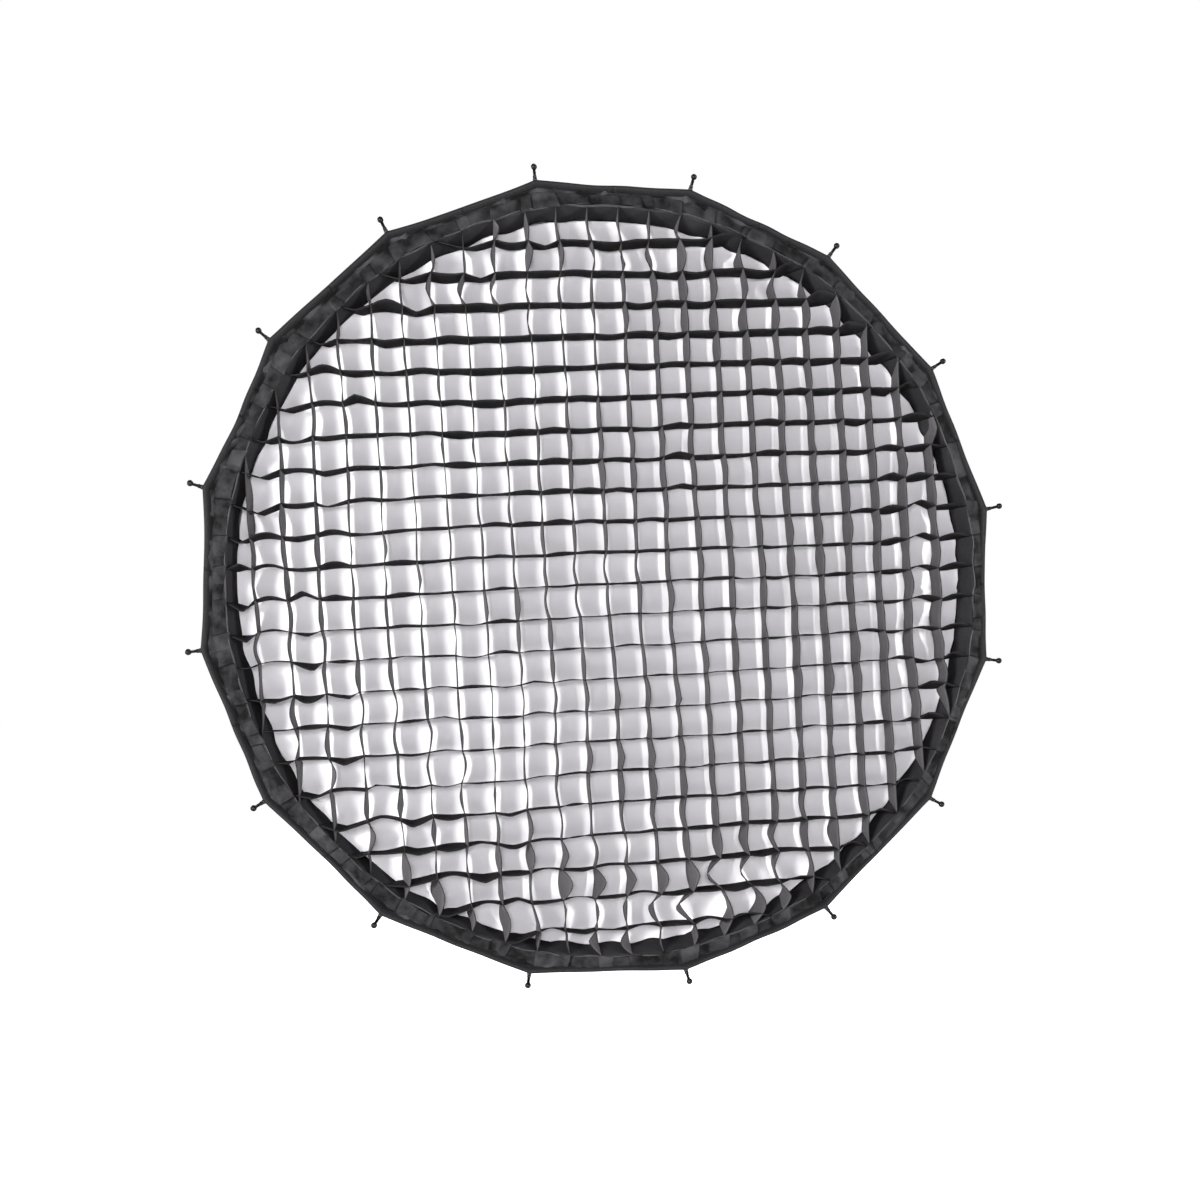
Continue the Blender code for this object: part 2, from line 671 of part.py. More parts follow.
def smooth_round_pieces():
    for made in PARTS.objects:
        if made.type == "MESH" and made.name.startswith(("pivot", "bayonet", "insert", "speed", "rod_kn")):
            made.data.shade_smooth()
            made.data.set_sharp_from_angle(angle=math.radians(35))


make_insert()
RING_AXIS = empty("speed_ring_axis", AXIS)
make_speed_ring(RING_AXIS)
make_knob(RING_AXIS)
make_rods(RING_AXIS)
make_shell(RING_AXIS)
make_diffusers(RING_AXIS)
make_grid(RING_AXIS)
smooth_round_pieces()
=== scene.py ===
"""Looks of the sixteen-rod folding octabox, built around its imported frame.

The box's axis runs along Y, its open front faces -Y and +Z is up. Depths below are distances forward
from the seat on the light, so a depth d lies at y = -d. Metres throughout.
"""

import json
import math

import bmesh
import bpy
import numpy as np
from mathutils import Matrix, Vector

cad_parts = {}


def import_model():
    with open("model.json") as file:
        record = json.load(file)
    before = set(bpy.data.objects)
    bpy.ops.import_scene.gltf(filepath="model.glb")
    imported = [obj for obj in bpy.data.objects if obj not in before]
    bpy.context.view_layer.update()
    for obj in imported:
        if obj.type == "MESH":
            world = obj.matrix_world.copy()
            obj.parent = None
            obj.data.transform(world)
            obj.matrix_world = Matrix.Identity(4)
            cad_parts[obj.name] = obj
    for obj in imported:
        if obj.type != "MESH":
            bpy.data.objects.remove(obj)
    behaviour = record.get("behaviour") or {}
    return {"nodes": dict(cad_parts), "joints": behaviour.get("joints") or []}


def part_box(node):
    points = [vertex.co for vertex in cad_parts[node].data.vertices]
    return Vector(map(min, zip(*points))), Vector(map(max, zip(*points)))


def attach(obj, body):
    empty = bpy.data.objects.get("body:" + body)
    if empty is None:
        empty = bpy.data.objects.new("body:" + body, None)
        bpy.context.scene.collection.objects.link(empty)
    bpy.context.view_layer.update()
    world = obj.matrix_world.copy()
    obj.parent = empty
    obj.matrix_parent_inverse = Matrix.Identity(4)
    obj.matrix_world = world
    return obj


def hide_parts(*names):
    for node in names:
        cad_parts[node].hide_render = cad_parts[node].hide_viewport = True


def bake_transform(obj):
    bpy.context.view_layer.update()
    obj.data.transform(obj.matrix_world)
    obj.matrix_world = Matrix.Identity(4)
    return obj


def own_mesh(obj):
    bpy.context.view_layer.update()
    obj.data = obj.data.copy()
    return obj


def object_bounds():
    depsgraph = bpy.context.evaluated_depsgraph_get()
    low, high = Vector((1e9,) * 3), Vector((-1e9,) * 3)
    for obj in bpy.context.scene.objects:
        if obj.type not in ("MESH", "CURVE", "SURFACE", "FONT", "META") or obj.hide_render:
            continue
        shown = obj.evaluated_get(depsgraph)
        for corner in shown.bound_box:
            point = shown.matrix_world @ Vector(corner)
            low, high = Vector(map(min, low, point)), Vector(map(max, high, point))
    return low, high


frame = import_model()
cad_low, cad_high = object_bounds()
NODES = frame["nodes"]
JOINTS = {joint["name"]: joint for joint in frame["joints"]}

# ---- the frame's own sizes ----
ROD_COUNT = 16
STEP = 2 * math.pi / ROD_COUNT
FIRST_ANGLE = STEP / 2
FOLD_JOINT = "rod_fold_01"
_hinge = JOINTS[FOLD_JOINT]["pos_m"]
PIVOT_R = math.hypot(_hinge[0], _hinge[2])
PIVOT_DEPTH = -_hinge[1]
RIM_ROD_R = 0.603
ROD_STRAIGHT = 0.045
HUB_SLOPE = math.radians(64)
RIM_SLOPE = math.radians(40)
ROD_RADIUS = 0.0025
SOCKET_START = 0.0125
TIP_LENGTH = 0.021
BALL_RADIUS = 0.0046

ARC_START_R = PIVOT_R + ROD_STRAIGHT * math.sin(HUB_SLOPE)
ARC_START_DEPTH = PIVOT_DEPTH + ROD_STRAIGHT * math.cos(HUB_SLOPE)
ARC_RADIUS = (RIM_ROD_R - ARC_START_R) / (math.cos(RIM_SLOPE) - math.cos(HUB_SLOPE))
ARC_CENTRE_R = ARC_START_R - ARC_RADIUS * math.cos(HUB_SLOPE)
ARC_CENTRE_DEPTH = ARC_START_DEPTH + ARC_RADIUS * math.sin(HUB_SLOPE)
RIM_DEPTH = ARC_CENTRE_DEPTH - ARC_RADIUS * math.sin(RIM_SLOPE)

# ---- sizes of the cloth ----
SHELL_INSIDE = 0.0040  # from the rods' centre lines inward to the cloth
SHELL_T = 0.0008
PANEL_SAG = 0.0060  # how far a panel bows in, halfway down
PANEL_SWELL = 0.0075  # how far the grid pushes it out, near the rim
LIP_INSIDE = 0.0062
LIP_DEPTH = 0.062  # along the cloth, from the hem
LIP_T = 0.0008
RIM_LENGTH = 3.6  # about the way round the lip, over which its nap varies
LIP_GAP = 0.0014  # between the lip's middle and the grid's border
SLEEVE_T = 0.0007
DIFFUSER_DEPTH = RIM_DEPTH - 0.050
DIFFUSER_TURN = 0.0078  # how far its edge turns forward
BAFFLE_DEPTH = -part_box("inner_baffle")[0].y
GRID_FRONT = -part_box("fabric_grid")[0].y
GRID_BACK = -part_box("fabric_grid")[1].y
GRID_DEPTH = GRID_FRONT - GRID_BACK
GRID_PITCH = 0.0471
GRID_TURN = math.radians(3.86)
GRID_PHASE = (-0.0013, -0.0102)  # where the nearest walls pass the axis, in the grid's own directions
GRID_WALL_T = 0.0013
WALL_LINES = [np.arange(-13, 14) * GRID_PITCH + phase for phase in GRID_PHASE]
BORDER_T = 0.0012
FLAP_R = 0.5815  # where the grid's hook tape ends, to the middle of a side
BEAD_WIDTH = 0.0080
BEAD_T = 0.0018
FLAP_FALL = 0.0075  # how far forward the flap comes from the border to the hem
WHITE_T = 0.0005  # of the diffuser and the baffle
GRID_CENTRE = np.array([0.006, 0.0, -0.004])  # the grid sits a little off the axis
BORDER_FRONT_R = 0.5640  # to the middle of a side
BORDER_BACK_R = 0.5515
BORDER_ROUNDNESS = 0.8  # 0 is a polygon with the rim's corners, 1 a circle

random = np.random.default_rng(16)


# ---- geometry of the box ----
def arc(slope, inside=0.0):
    """(distance from the axis, depth) where the rods have this slope, moved inward by some distance."""
    radius = ARC_RADIUS - inside
    return ARC_CENTRE_R + radius * np.cos(slope), ARC_CENTRE_DEPTH - radius * np.sin(slope)


def hub_line(run, inside=0.0):
    """The same at a distance from the hinge along the rods' straight ends."""
    return (PIVOT_R + run * math.sin(HUB_SLOPE) - inside * math.cos(HUB_SLOPE),
            PIVOT_DEPTH + run * math.cos(HUB_SLOPE) + inside * math.sin(HUB_SLOPE))


def slope_at(depth, inside=0.0):
    return np.arcsin((ARC_CENTRE_DEPTH - depth) / (ARC_RADIUS - inside))


def rod_angle(index):
    return FIRST_ANGLE + index * STEP


def along_rim(angle):
    """Direction across a rod, along the rim."""
    return np.array([-math.sin(angle), 0.0, math.cos(angle)])


def around(count, start=0.0):
    """Evenly spaced angles round the axis."""
    return np.linspace(start, start + 2 * math.pi, count, endpoint=False)


def world(r, angle, depth):
    """Points at a distance from the axis, an angle from +X towards +Z, and a depth."""
    return np.stack([r * np.cos(angle), -depth, r * np.sin(angle)], axis=-1)


def tag(index):
    return f"{index + 1:02d}"


SHELL_SLOPE = float(slope_at(ARC_START_DEPTH + 0.003, SHELL_INSIDE))
HEM_SCOOPS = random.uniform(0.0005, 0.0065, ROD_COUNT)  # how far each hem runs back between its corners


class Folds:
    """Soft folds of a sheet, as a height over two directions that each run from 0 to 1."""

    def __init__(self, strength, most_across=2.6, most_along=2.0, count=7):
        self.waves = [
            (random.uniform(0.6, most_across), random.uniform(-most_along, most_along),
             random.uniform(0, 2 * math.pi), random.normal(0, strength))
            for _ in range(count)
        ]

    def height(self, across, along):
        return sum(
            size * np.sin(2 * math.pi * (wave_across * across + wave_along * along) + phase)
            for wave_across, wave_along, phase, size in self.waves
        )

    def round(self, angles):
        """Height at angles round the axis."""
        return self.height(angles / (2 * math.pi), 0)


SHELL_FOLDS = [Folds(0.0012, 3.2, 3.0, 9) for _ in range(ROD_COUNT)]
LIP_FOLDS = [Folds(0.0011, 6.0, 1.2) for _ in range(ROD_COUNT)]
PUCKERS = [  # of each lip: place across, width, height and lean of five puckers
    [(k * 0.2 + random.uniform(0.02, 0.18), random.uniform(0.008, 0.022), random.uniform(0.0012, 0.0042),
      random.uniform(-0.05, 0.05)) for k in range(5)]
    for _ in range(ROD_COUNT)
]


def smooth_step(value, low, high):
    t = np.clip((value - low) / (high - low), 0, 1)
    return t * t * (3 - 2 * t)


def hem_slope(panel, across):
    """Slope of the rods where the hem runs: it scoops back between two corners."""
    return RIM_SLOPE + HEM_SCOOPS[panel] / ARC_RADIUS * 4 * across * (1 - across)


def bow(panel, slope):
    """How far out of the straight line between two rods the cloth stands, halfway across."""
    along = np.clip((SHELL_SLOPE - slope) / (SHELL_SLOPE - RIM_SLOPE), 0, 1)
    swell = smooth_step(along, 0.74, 0.90) * (1 - 0.6 * smooth_step(along, 0.93, 1.0))
    middle = rod_angle(panel) + STEP / 2
    push = PANEL_SWELL + GRID_CENTRE[0] * np.cos(middle) + GRID_CENTRE[2] * np.sin(middle)
    return push * swell - PANEL_SAG * np.sin(math.pi * along) * (1 - smooth_step(along, 0.70, 0.92))


def cloth_point(panel, across, slope, inside, height=0.0):
    """Point on the cloth between rod panel and the next, across running from 0 to 1 between them."""
    across, slope = np.broadcast_arrays(across, slope)
    r, depth = arc(slope, inside)
    a = world(r, rod_angle(panel), depth)
    b = world(r, rod_angle(panel + 1), depth)
    middle = rod_angle(panel) + STEP / 2
    out = np.stack(
        [np.cos(slope) * math.cos(middle), np.sin(slope), np.cos(slope) * math.sin(middle)], axis=-1
    )
    lift = bow(panel, slope) * 4 * across * (1 - across) + height
    return a + (b - a) * across[..., None] + out * lift[..., None]


def shell_height(panel, across, slope):
    """Height of the shell's folds, which fade out towards the rods and the hem."""
    along = (SHELL_SLOPE - slope) / (SHELL_SLOPE - RIM_SLOPE)
    calm = 4 * across * (1 - across) * (1 - 0.6 * smooth_step(along, 0.78, 0.94))
    return SHELL_FOLDS[panel].height(across, along) * calm


def lip_height(panel, across, slope):
    """The lip's folds and puckers, which only stand inwards from the shell."""
    back = (slope - RIM_SLOPE) * ARC_RADIUS / LIP_DEPTH
    total = np.abs(LIP_FOLDS[panel].height(across, back)) * 0.8
    for place, width, size, lean in PUCKERS[panel]:
        total = total + size * np.exp(-(((across - place - lean * back) / width) ** 2))
    return shell_height(panel, across, slope) - total * smooth_step(back, 0.04, 0.30) * (
        1 - smooth_step(back, 0.55, 0.75)
    )


def petal(index, half_columns, rows, slope_of, inside, height=shell_height):
    """Points and flat places of a piece centred on a rod, which runs to the middle of both its panels."""
    half = np.linspace(0.0, 0.5, half_columns + 1)
    sides = [(-1, 0.5 + w) for w in half[:-1]] + [(0, w) for w in half]
    along = np.linspace(0, 1, rows)
    points = np.zeros((rows, len(sides), 3))
    cloth = np.zeros((rows, len(sides), 2))
    for j, (side, w) in enumerate(sides):
        panel = (index + side) % ROD_COUNT
        across = np.full(rows, w)
        slope = slope_of(panel, w, along)
        points[:, j] = cloth_point(panel, across, slope, inside, height(panel, across, slope))
        cloth[:, j, 0] = 2 * arc(slope, inside)[0] * math.sin(STEP / 2) * (w - 1 if side else w)
        cloth[:, j, 1] = (SHELL_SLOPE - slope) * ARC_RADIUS
    return points, cloth


# ---- building meshes ----
SAME_POINT = 0.00001
RING = (False, True)  # which ways a grid of points closes: its rows close into rings


def new_object(name, data):
    made = bpy.data.objects.new(name, data)
    bpy.context.scene.collection.objects.link(made)
    return made


def sheet_mesh(name, sheets, closed=(False, False), join=False):
    """A mesh from grids of points, each with the same points' places on the flat cloth, in metres.

    A third value beside a place darkens or lightens the cloth there: on the lip band it is the nap's random
    tone, on the grid's flap it is painted shade on the shaded side of each pleat and painted light on its
    other side.
    """
    faces, start = [], 0
    for points, _ in sheets:
        rows, columns = points.shape[:2]
        here = start + np.arange(rows * columns).reshape(rows, columns)
        beside = np.roll(here, -1, axis=1)
        quads = np.stack([here, beside, np.roll(beside, -1, axis=0), np.roll(here, -1, axis=0)], axis=-1)
        faces.append(quads[:rows if closed[0] else -1, :columns if closed[1] else -1].reshape(-1, 4))
        start += rows * columns
    data = bpy.data.meshes.new(name)
    points = np.concatenate([points.reshape(-1, 3) for points, _ in sheets])
    data.from_pydata(points.tolist(), [], np.concatenate(faces).tolist())
    places = np.concatenate([cloth.reshape(-1, cloth.shape[-1]) for _, cloth in sheets])
    flat = np.zeros((len(places), 3), np.float32)
    flat[:, :places.shape[1]] = places
    data.attributes.new("cloth", "FLOAT_VECTOR", "POINT").data.foreach_set("vector", flat.ravel())
    if join:
        shape = bmesh.new()
        shape.from_mesh(data)
        bmesh.ops.remove_doubles(shape, verts=shape.verts, dist=SAME_POINT)
        shape.to_mesh(data)
        shape.free()
    data.shade_smooth()
    return data


def solidify(made, thickness, inner_material=0):
    thick = made.modifiers.new("thickness", "SOLIDIFY")
    thick.thickness = thickness
    thick.offset = 0.0
    thick.use_even_offset = False
    thick.material_offset = inner_material
    return thick


def tube(name, path, radii, sides=12):
    """A round tube along a path, whose radius may change, with closed ends."""
    path = np.asarray(path, float)
    radii = np.asarray(radii, float)
    along = np.gradient(path, axis=0)
    along /= np.linalg.norm(along, axis=1)[:, None]
    up = np.cross(along[0], (0.0, 0.0, 1.0))
    if np.linalg.norm(up) < 0.1:
        up = np.cross(along[0], (0.0, 1.0, 0.0))
    frames = []
    for direction in along:
        up = up - direction * (up @ direction)
        up /= np.linalg.norm(up)
        frames.append((up, np.cross(direction, up)))
    turns = around(sides)
    points = np.array([
        [p + r * (math.cos(t) * u + math.sin(t) * v) for t in turns]
        for p, r, (u, v) in zip(path, radii, frames)
    ])
    length = np.concatenate([[0], np.cumsum(np.linalg.norm(np.diff(path, axis=0), axis=1))])
    cloth = np.stack(np.meshgrid(turns * radii.mean(), length), axis=-1)
    data = sheet_mesh(name, [(points, cloth)], RING)
    shape = bmesh.new()
    shape.from_mesh(data)
    shape.verts.ensure_lookup_table()
    for first in (0, (len(path) - 1) * sides):
        ring = [shape.verts[first + i] for i in range(sides)]
        shape.faces.new(ring if first else ring[::-1])
    bmesh.ops.recalc_face_normals(shape, faces=shape.faces)
    shape.to_mesh(data)
    shape.free()
    data.shade_smooth()
    return data


# ---- materials ----
class Nodes:
    """A material's node tree, with one short call for each node."""

    def __init__(self, name):
        self.material = bpy.data.materials.new(name)
        self.material.use_nodes = True
        self.tree = self.material.node_tree
        self.shader = self.tree.nodes["Principled BSDF"]

    def add(self, kind, **settings):
        node = self.tree.nodes.new(kind)
        for key, value in settings.items():
            setattr(node, key, value)
        return node

    def link(self, source, target):
        self.tree.links.new(source, target)

    def set(self, **values):
        for key, value in values.items():
            self.shader.inputs[key.replace("_", " ")].default_value = value

    def cloth(self):
        return self.add("ShaderNodeAttribute", attribute_name="cloth").outputs["Vector"]

    def place(self):
        return self.add("ShaderNodeTexCoord").outputs["Object"]

    def radius(self):
        """Distance from the box's axis."""
        x, _, z = self.split(self.place())
        squares = self.math("ADD", self.math("MULTIPLY", x, x), self.math("MULTIPLY", z, z))
        return self.math("SQRT", squares)

    def noise(self, scale, detail=4.0, place=None):
        node = self.add("ShaderNodeTexNoise")
        node.inputs["Scale"].default_value = scale
        node.inputs["Detail"].default_value = detail
        node.inputs["Roughness"].default_value = 0.55
        self.link(place or self.place(), node.inputs["Vector"])
        return node.outputs["Fac"]

    def wave(self, scale, direction, place):
        node = self.add("ShaderNodeTexWave", bands_direction=direction)
        node.inputs["Scale"].default_value = scale
        self.link(place, node.inputs["Vector"])
        return node.outputs["Fac"]

    def math(self, operation, first, second=None):
        node = self.add("ShaderNodeMath", operation=operation)
        for socket, value in zip(node.inputs, (first, second)):
            if value is None:
                continue
            if isinstance(value, (int, float)):
                socket.default_value = value
            else:
                self.link(value, socket)
        return node.outputs[0]

    def split(self, vector):
        node = self.add("ShaderNodeSeparateXYZ")
        self.link(vector, node.inputs[0])
        return node.outputs

    def ramp(self, value, low, dark, high, light):
        node = self.add("ShaderNodeValToRGB")
        for element, place, colour in zip(node.color_ramp.elements, (low, high), (dark, light)):
            element.position = place
            element.color = (*colour, 1.0)
        self.link(value, node.inputs[0])
        return node.outputs["Color"]

    def sum(self, first, share, second, other=None):
        """first times its share, plus second times its own."""
        if other is not None:
            second = self.math("MULTIPLY", second, other)
        return self.math("ADD", self.math("MULTIPLY", first, share), second)

    def bump(self, height, distance):
        node = self.add("ShaderNodeBump")
        node.inputs["Strength"].default_value = 1.0
        node.inputs["Distance"].default_value = distance
        self.link(height, node.inputs["Height"])
        self.link(node.outputs["Normal"], self.shader.inputs["Normal"])

    def colour(self, value, low, dark, high, light):
        """Colour that runs from dark to light as a noise goes from low to high."""
        self.link(self.ramp(value, low, dark, high, light), self.shader.inputs["Base Color"])

    def roughness(self, value, low, high):
        """Roughness that runs from low to high as a noise goes from 0.3 to 0.7."""
        node = self.add("ShaderNodeMapRange")
        for key, number in zip(("From Min", "From Max", "To Min", "To Max"), (0.3, 0.7, low, high)):
            node.inputs[key].default_value = number
        self.link(value, node.inputs["Value"])
        self.link(node.outputs["Result"], self.shader.inputs["Roughness"])


BAND_LENGTH = 2 * math.pi / 20  # of one band of the wave texture at scale 1


def weave(nodes, threads_per_metre):
    """Height of a plain weave on the flat cloth."""
    place = nodes.cloth()
    scale = threads_per_metre * BAND_LENGTH
    over = nodes.wave(scale, "X", place)
    under = nodes.wave(scale, "Y", place)
    return nodes.math("MULTIPLY", over, under)


def cloth_material(
    name, dark, light, threads=1100, roughness=(0.62, 0.85), sheen=0.0, bump=0.0002, gloss=0.15
):
    nodes = Nodes(name)
    soft = nodes.noise(9.0, 5.0)
    fine = nodes.noise(260.0, 3.0)
    nodes.colour(nodes.sum(soft, 0.65, fine, 0.35), 0.30, dark, 0.70, light)
    nodes.roughness(soft, *roughness)
    nodes.set(Sheen_Weight=sheen, Sheen_Roughness=0.4, Specular_IOR_Level=gloss)
    creases = nodes.noise(38.0, 6.0)
    nodes.bump(nodes.sum(weave(nodes, threads), 0.35, creases), bump)
    return nodes


def lip_nylon():
    """Brushed loop tape, whose nap lies this way and that; the cloth's third value adds to its tone, and on
    the grid's flap that is painted shade and painted light on the two sides of each pleat.
    """
    nodes = cloth_material(
        "lip_nylon", (0.0075, 0.0074, 0.0079), (0.020, 0.0197, 0.0208), 1400,
        sheen=0.02, bump=0.0010, gloss=0.12,
    )
    # The cloth's third value: random nap on the lip band, painted shade and painted light on the pleats of
    # the grid's flap.
    _, _, nap_and_shade = nodes.split(nodes.cloth())
    nap_and_shade_tone = nodes.math("ADD", nodes.noise(45.0, 6.0), nodes.math("MULTIPLY", nap_and_shade, 0.25))
    nodes.colour(nap_and_shade_tone, 0.36, (0.0022, 0.0021, 0.0023), 0.80, (0.044, 0.043, 0.0455))
    return nodes


SHELL_BLACKS = ((0.018, 0.018, 0.0195), (0.037, 0.037, 0.0395))
SEAM_PLACE = 0.0082  # of the sleeves' stitches, sideways from the rod


def sleeve_cloth():
    """Black nylon with a row of stitches along each edge of the sleeve."""
    nodes = Nodes("sleeve_nylon")
    across, along, _ = nodes.split(nodes.cloth())
    soft = nodes.noise(12.0, 4.0)
    base = nodes.ramp(soft, 0.3, SHELL_BLACKS[0], 0.7, SHELL_BLACKS[1])
    distance = nodes.math("SUBTRACT", nodes.math("ABSOLUTE", across), SEAM_PLACE)
    on_line = nodes.math("LESS_THAN", nodes.math("ABSOLUTE", distance), 0.0005)
    dash = nodes.math("LESS_THAN", nodes.math("FRACT", nodes.math("MULTIPLY", along, 260.0)), 0.62)
    thread = nodes.math("MULTIPLY", on_line, dash)
    mix = nodes.add("ShaderNodeMixRGB")
    nodes.link(thread, mix.inputs["Fac"])
    nodes.link(base, mix.inputs["Color1"])
    mix.inputs["Color2"].default_value = (0.085, 0.085, 0.09, 1)
    nodes.link(mix.outputs[0], nodes.shader.inputs["Base Color"])
    nodes.set(Sheen_Weight=0.08, Roughness=0.72, Specular_IOR_Level=0.15)
    nodes.bump(nodes.sum(weave(nodes, 1400), 0.3, thread), 0.0003)
    return nodes


def silver_lining():
    nodes = Nodes("silver_lining")
    place = nodes.cloth()
    soft = nodes.noise(7.0, 5.0)
    crinkle = nodes.noise(90.0, 6.0)
    nodes.colour(soft, 0.3, (0.60, 0.60, 0.61), 0.7, (0.78, 0.78, 0.79))
    nodes.roughness(crinkle, 0.28, 0.45)
    nodes.set(Metallic=0.9)
    dimples = nodes.math("MULTIPLY", nodes.wave(62.8, "X", place), nodes.wave(62.8, "Y", place))
    nodes.bump(nodes.math("ADD", dimples, crinkle), 0.0006)
    return nodes


def diffuser_cloth():
    nodes = Nodes("diffuser_cloth")
    soft = nodes.noise(6.0, 4.0)
    fibre = nodes.noise(900.0, 2.0, nodes.cloth())
    mix = nodes.sum(soft, 0.5, fibre, 0.5)
    nodes.colour(mix, 0.3, (0.845, 0.835, 0.855), 0.7, (0.875, 0.868, 0.885))
    nodes.set(Roughness=0.9, Sheen_Weight=0.1)
    nodes.bump(nodes.sum(nodes.noise(60.0, 5.0), 2.0, weave(nodes, 1600)), 0.0001)
    return nodes


def elastic_band():
    """Ribbed woven elastic: ribs along its length."""
    nodes = Nodes("elastic_band")
    place = nodes.cloth()
    ribs = nodes.wave(260.0, "X", place)
    picks = nodes.wave(420.0, "Y", place)
    mix = nodes.sum(ribs, 0.7, picks, 0.3)
    nodes.colour(mix, 0.1, (0.02, 0.02, 0.022), 0.9, (0.06, 0.06, 0.064))
    nodes.set(Roughness=0.8, Sheen_Weight=0.3)
    nodes.bump(mix, 0.0004)
    return nodes


def rod_paint():
    nodes = Nodes("rod_paint")
    rubbed = nodes.noise(220.0, 4.0)
    nodes.colour(rubbed, 0.35, (0.004, 0.004, 0.0043), 0.75, (0.009, 0.009, 0.0097))
    nodes.roughness(rubbed, 0.22, 0.42)
    nodes.set(Coat_Weight=0.04, Coat_Roughness=0.2, Specular_IOR_Level=0.12)
    nodes.bump(rubbed, 0.00005)
    return nodes


def moulded_plastic(name, dark, light, roughness):
    nodes = Nodes(name)
    grain = nodes.noise(900.0, 2.0)
    soft = nodes.noise(40.0, 3.0)
    nodes.colour(soft, 0.3, dark, 0.7, light)
    nodes.roughness(soft, roughness - 0.06, roughness + 0.06)
    nodes.bump(grain, 0.00006)
    return nodes


def metal(name, dark, light, grain, roughness, metallic=1.0, light_from=0.7):
    """A smudged metal, and its smudges for the bump."""
    nodes = Nodes(name)
    smudge = nodes.noise(*grain)
    nodes.colour(smudge, 0.3, dark, light_from, light)
    nodes.roughness(smudge, *roughness)
    nodes.set(Metallic=metallic)
    return nodes, smudge


def anodised():
    """Cast and turned aluminium, anodised black, with fine turning marks and rubbed patches."""
    nodes, _ = metal("black_anodised", (0.020, 0.020, 0.022), (0.055, 0.055, 0.060), (30.0, 5.0),
                     (0.32, 0.48), 0.75, 0.75)
    turning = nodes.math("SINE", nodes.math("MULTIPLY", nodes.radius(), 9000.0))
    nodes.bump(nodes.sum(turning, 0.25, nodes.noise(500.0, 3.0)), 0.00006)
    return nodes


def brushed_plate():
    nodes, smudge = metal("brushed_plate", (0.46, 0.46, 0.48), (0.62, 0.62, 0.64), (25.0, 5.0), (0.24, 0.42))
    rings = nodes.math("SINE", nodes.math("MULTIPLY", nodes.radius(), 14000.0))
    nodes.bump(nodes.math("ADD", rings, smudge), 0.00003)
    return nodes


def screw_steel():
    nodes, smudge = metal("screw_steel", (0.30, 0.30, 0.31), (0.45, 0.45, 0.46), (400.0, 3.0), (0.2, 0.38))
    nodes.bump(smudge, 0.00002)
    return nodes


def floor_paint():
    """A white sweep that is lit brighter than the object, as the camera sees it."""
    nodes = Nodes("floor_paint")
    nodes.colour(nodes.noise(2.0, 3.0), 0.3, (0.86, 0.86, 0.86), 0.7, (0.90, 0.90, 0.90))
    nodes.set(Roughness=0.85)
    seen = nodes.add("ShaderNodeLightPath")
    glow = nodes.math("MULTIPLY", seen.outputs["Is Camera Ray"], 0.92)
    nodes.link(glow, nodes.shader.inputs["Emission Strength"])
    nodes.shader.inputs["Emission Color"].default_value = (1, 1, 1, 1)
    return nodes


LOOKS = {
    "black": cloth_material("black_nylon", *SHELL_BLACKS, 1400, sheen=0.08),
    "lip": lip_nylon(),
    # The uprights and the crosswalls are one cloth in two copies: the uprights' lighter copy is painted light
    # for the side lamps that fall on their faces, and the crosswalls' darker copy is painted shade.
    "grid": cloth_material("grid_nylon_painted_light", (0.052, 0.049, 0.053), (0.082, 0.078, 0.084), sheen=0.05, gloss=0.1),
    # Painted shade: a darker copy of the same cloth for the crosswalls, whose faces the side lamps miss.
    "crosswall": cloth_material(
        "crosswall_nylon_painted_shade", (0.010, 0.0096, 0.0102), (0.018, 0.0173, 0.0184), gloss=0.02),
    "border": cloth_material("border_nylon", (0.014, 0.0134, 0.0143), (0.030, 0.0288, 0.0308), gloss=0.02),
    "bead": cloth_material(
        "bead_tape", (0.020, 0.0195, 0.0205), (0.045, 0.044, 0.046), 900, (0.35, 0.5), 0.05, gloss=0.5),
    "binding": cloth_material(
        "binding_tape", (0.005, 0.005, 0.0055), (0.012, 0.012, 0.013), 900, (0.5, 0.7), 0.03),
    "sleeve": sleeve_cloth(),
    "silver": silver_lining(),
    "white": diffuser_cloth(),
    "elastic": elastic_band(),
    "rod": rod_paint(),
    "knuckle": moulded_plastic("knuckle_plastic", (0.020, 0.020, 0.021), (0.036, 0.036, 0.037), 0.5),
    "knob": moulded_plastic("knob_rubber", (0.016, 0.016, 0.016), (0.028, 0.028, 0.028), 0.65),
    "boot": moulded_plastic("boot_rubber", (0.006, 0.006, 0.006), (0.013, 0.013, 0.013), 0.55),
    "anodised": anodised(),
    "plate": brushed_plate(),
    "screw": screw_steel(),
}
MATERIALS = {key: nodes.material for key, nodes in LOOKS.items()}
CAD_LOOKS = (  # how a CAD node's name starts, its material and the width of its broken edges
    ("bayonet_insert", "plate", 0.0003), ("insert_retaining_ring", "plate", 0.0003),
    ("retaining_screw", "screw", 0.0002), ("speed_ring", "anodised", 0.0006),
    ("cover_screw", "screw", 0.0002), ("pivot_wire", "screw", 0.0), ("lock_knob", "knob", 0.0004),
    ("rod_knuckle", "knuckle", 0.0004),
)


def finish_piece(made, materials, body, replaces, squash=None):
    """Gives a piece its materials, the body it rides on and the CAD nodes it stands for."""
    for material in materials:
        made.data.materials.append(MATERIALS[material])
    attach(made, body)
    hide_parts(*replaces)
    if squash is not None:
        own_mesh(made)
    return made


def add_piece(
    name, points, cloth, thickness, material, body, replaces, closed=(False, False), join=False
):
    """A piece made from a grid of points, in one material."""
    made = new_object(name, sheet_mesh(name, [(points, cloth)], closed, join))
    if thickness:
        solidify(made, thickness)
    return finish_piece(made, (material,), body, (replaces,))


def strip_place(across, along):
    """Places on the flat cloth of a line that runs along it."""
    return np.stack([np.full(len(along), across), along], -1)


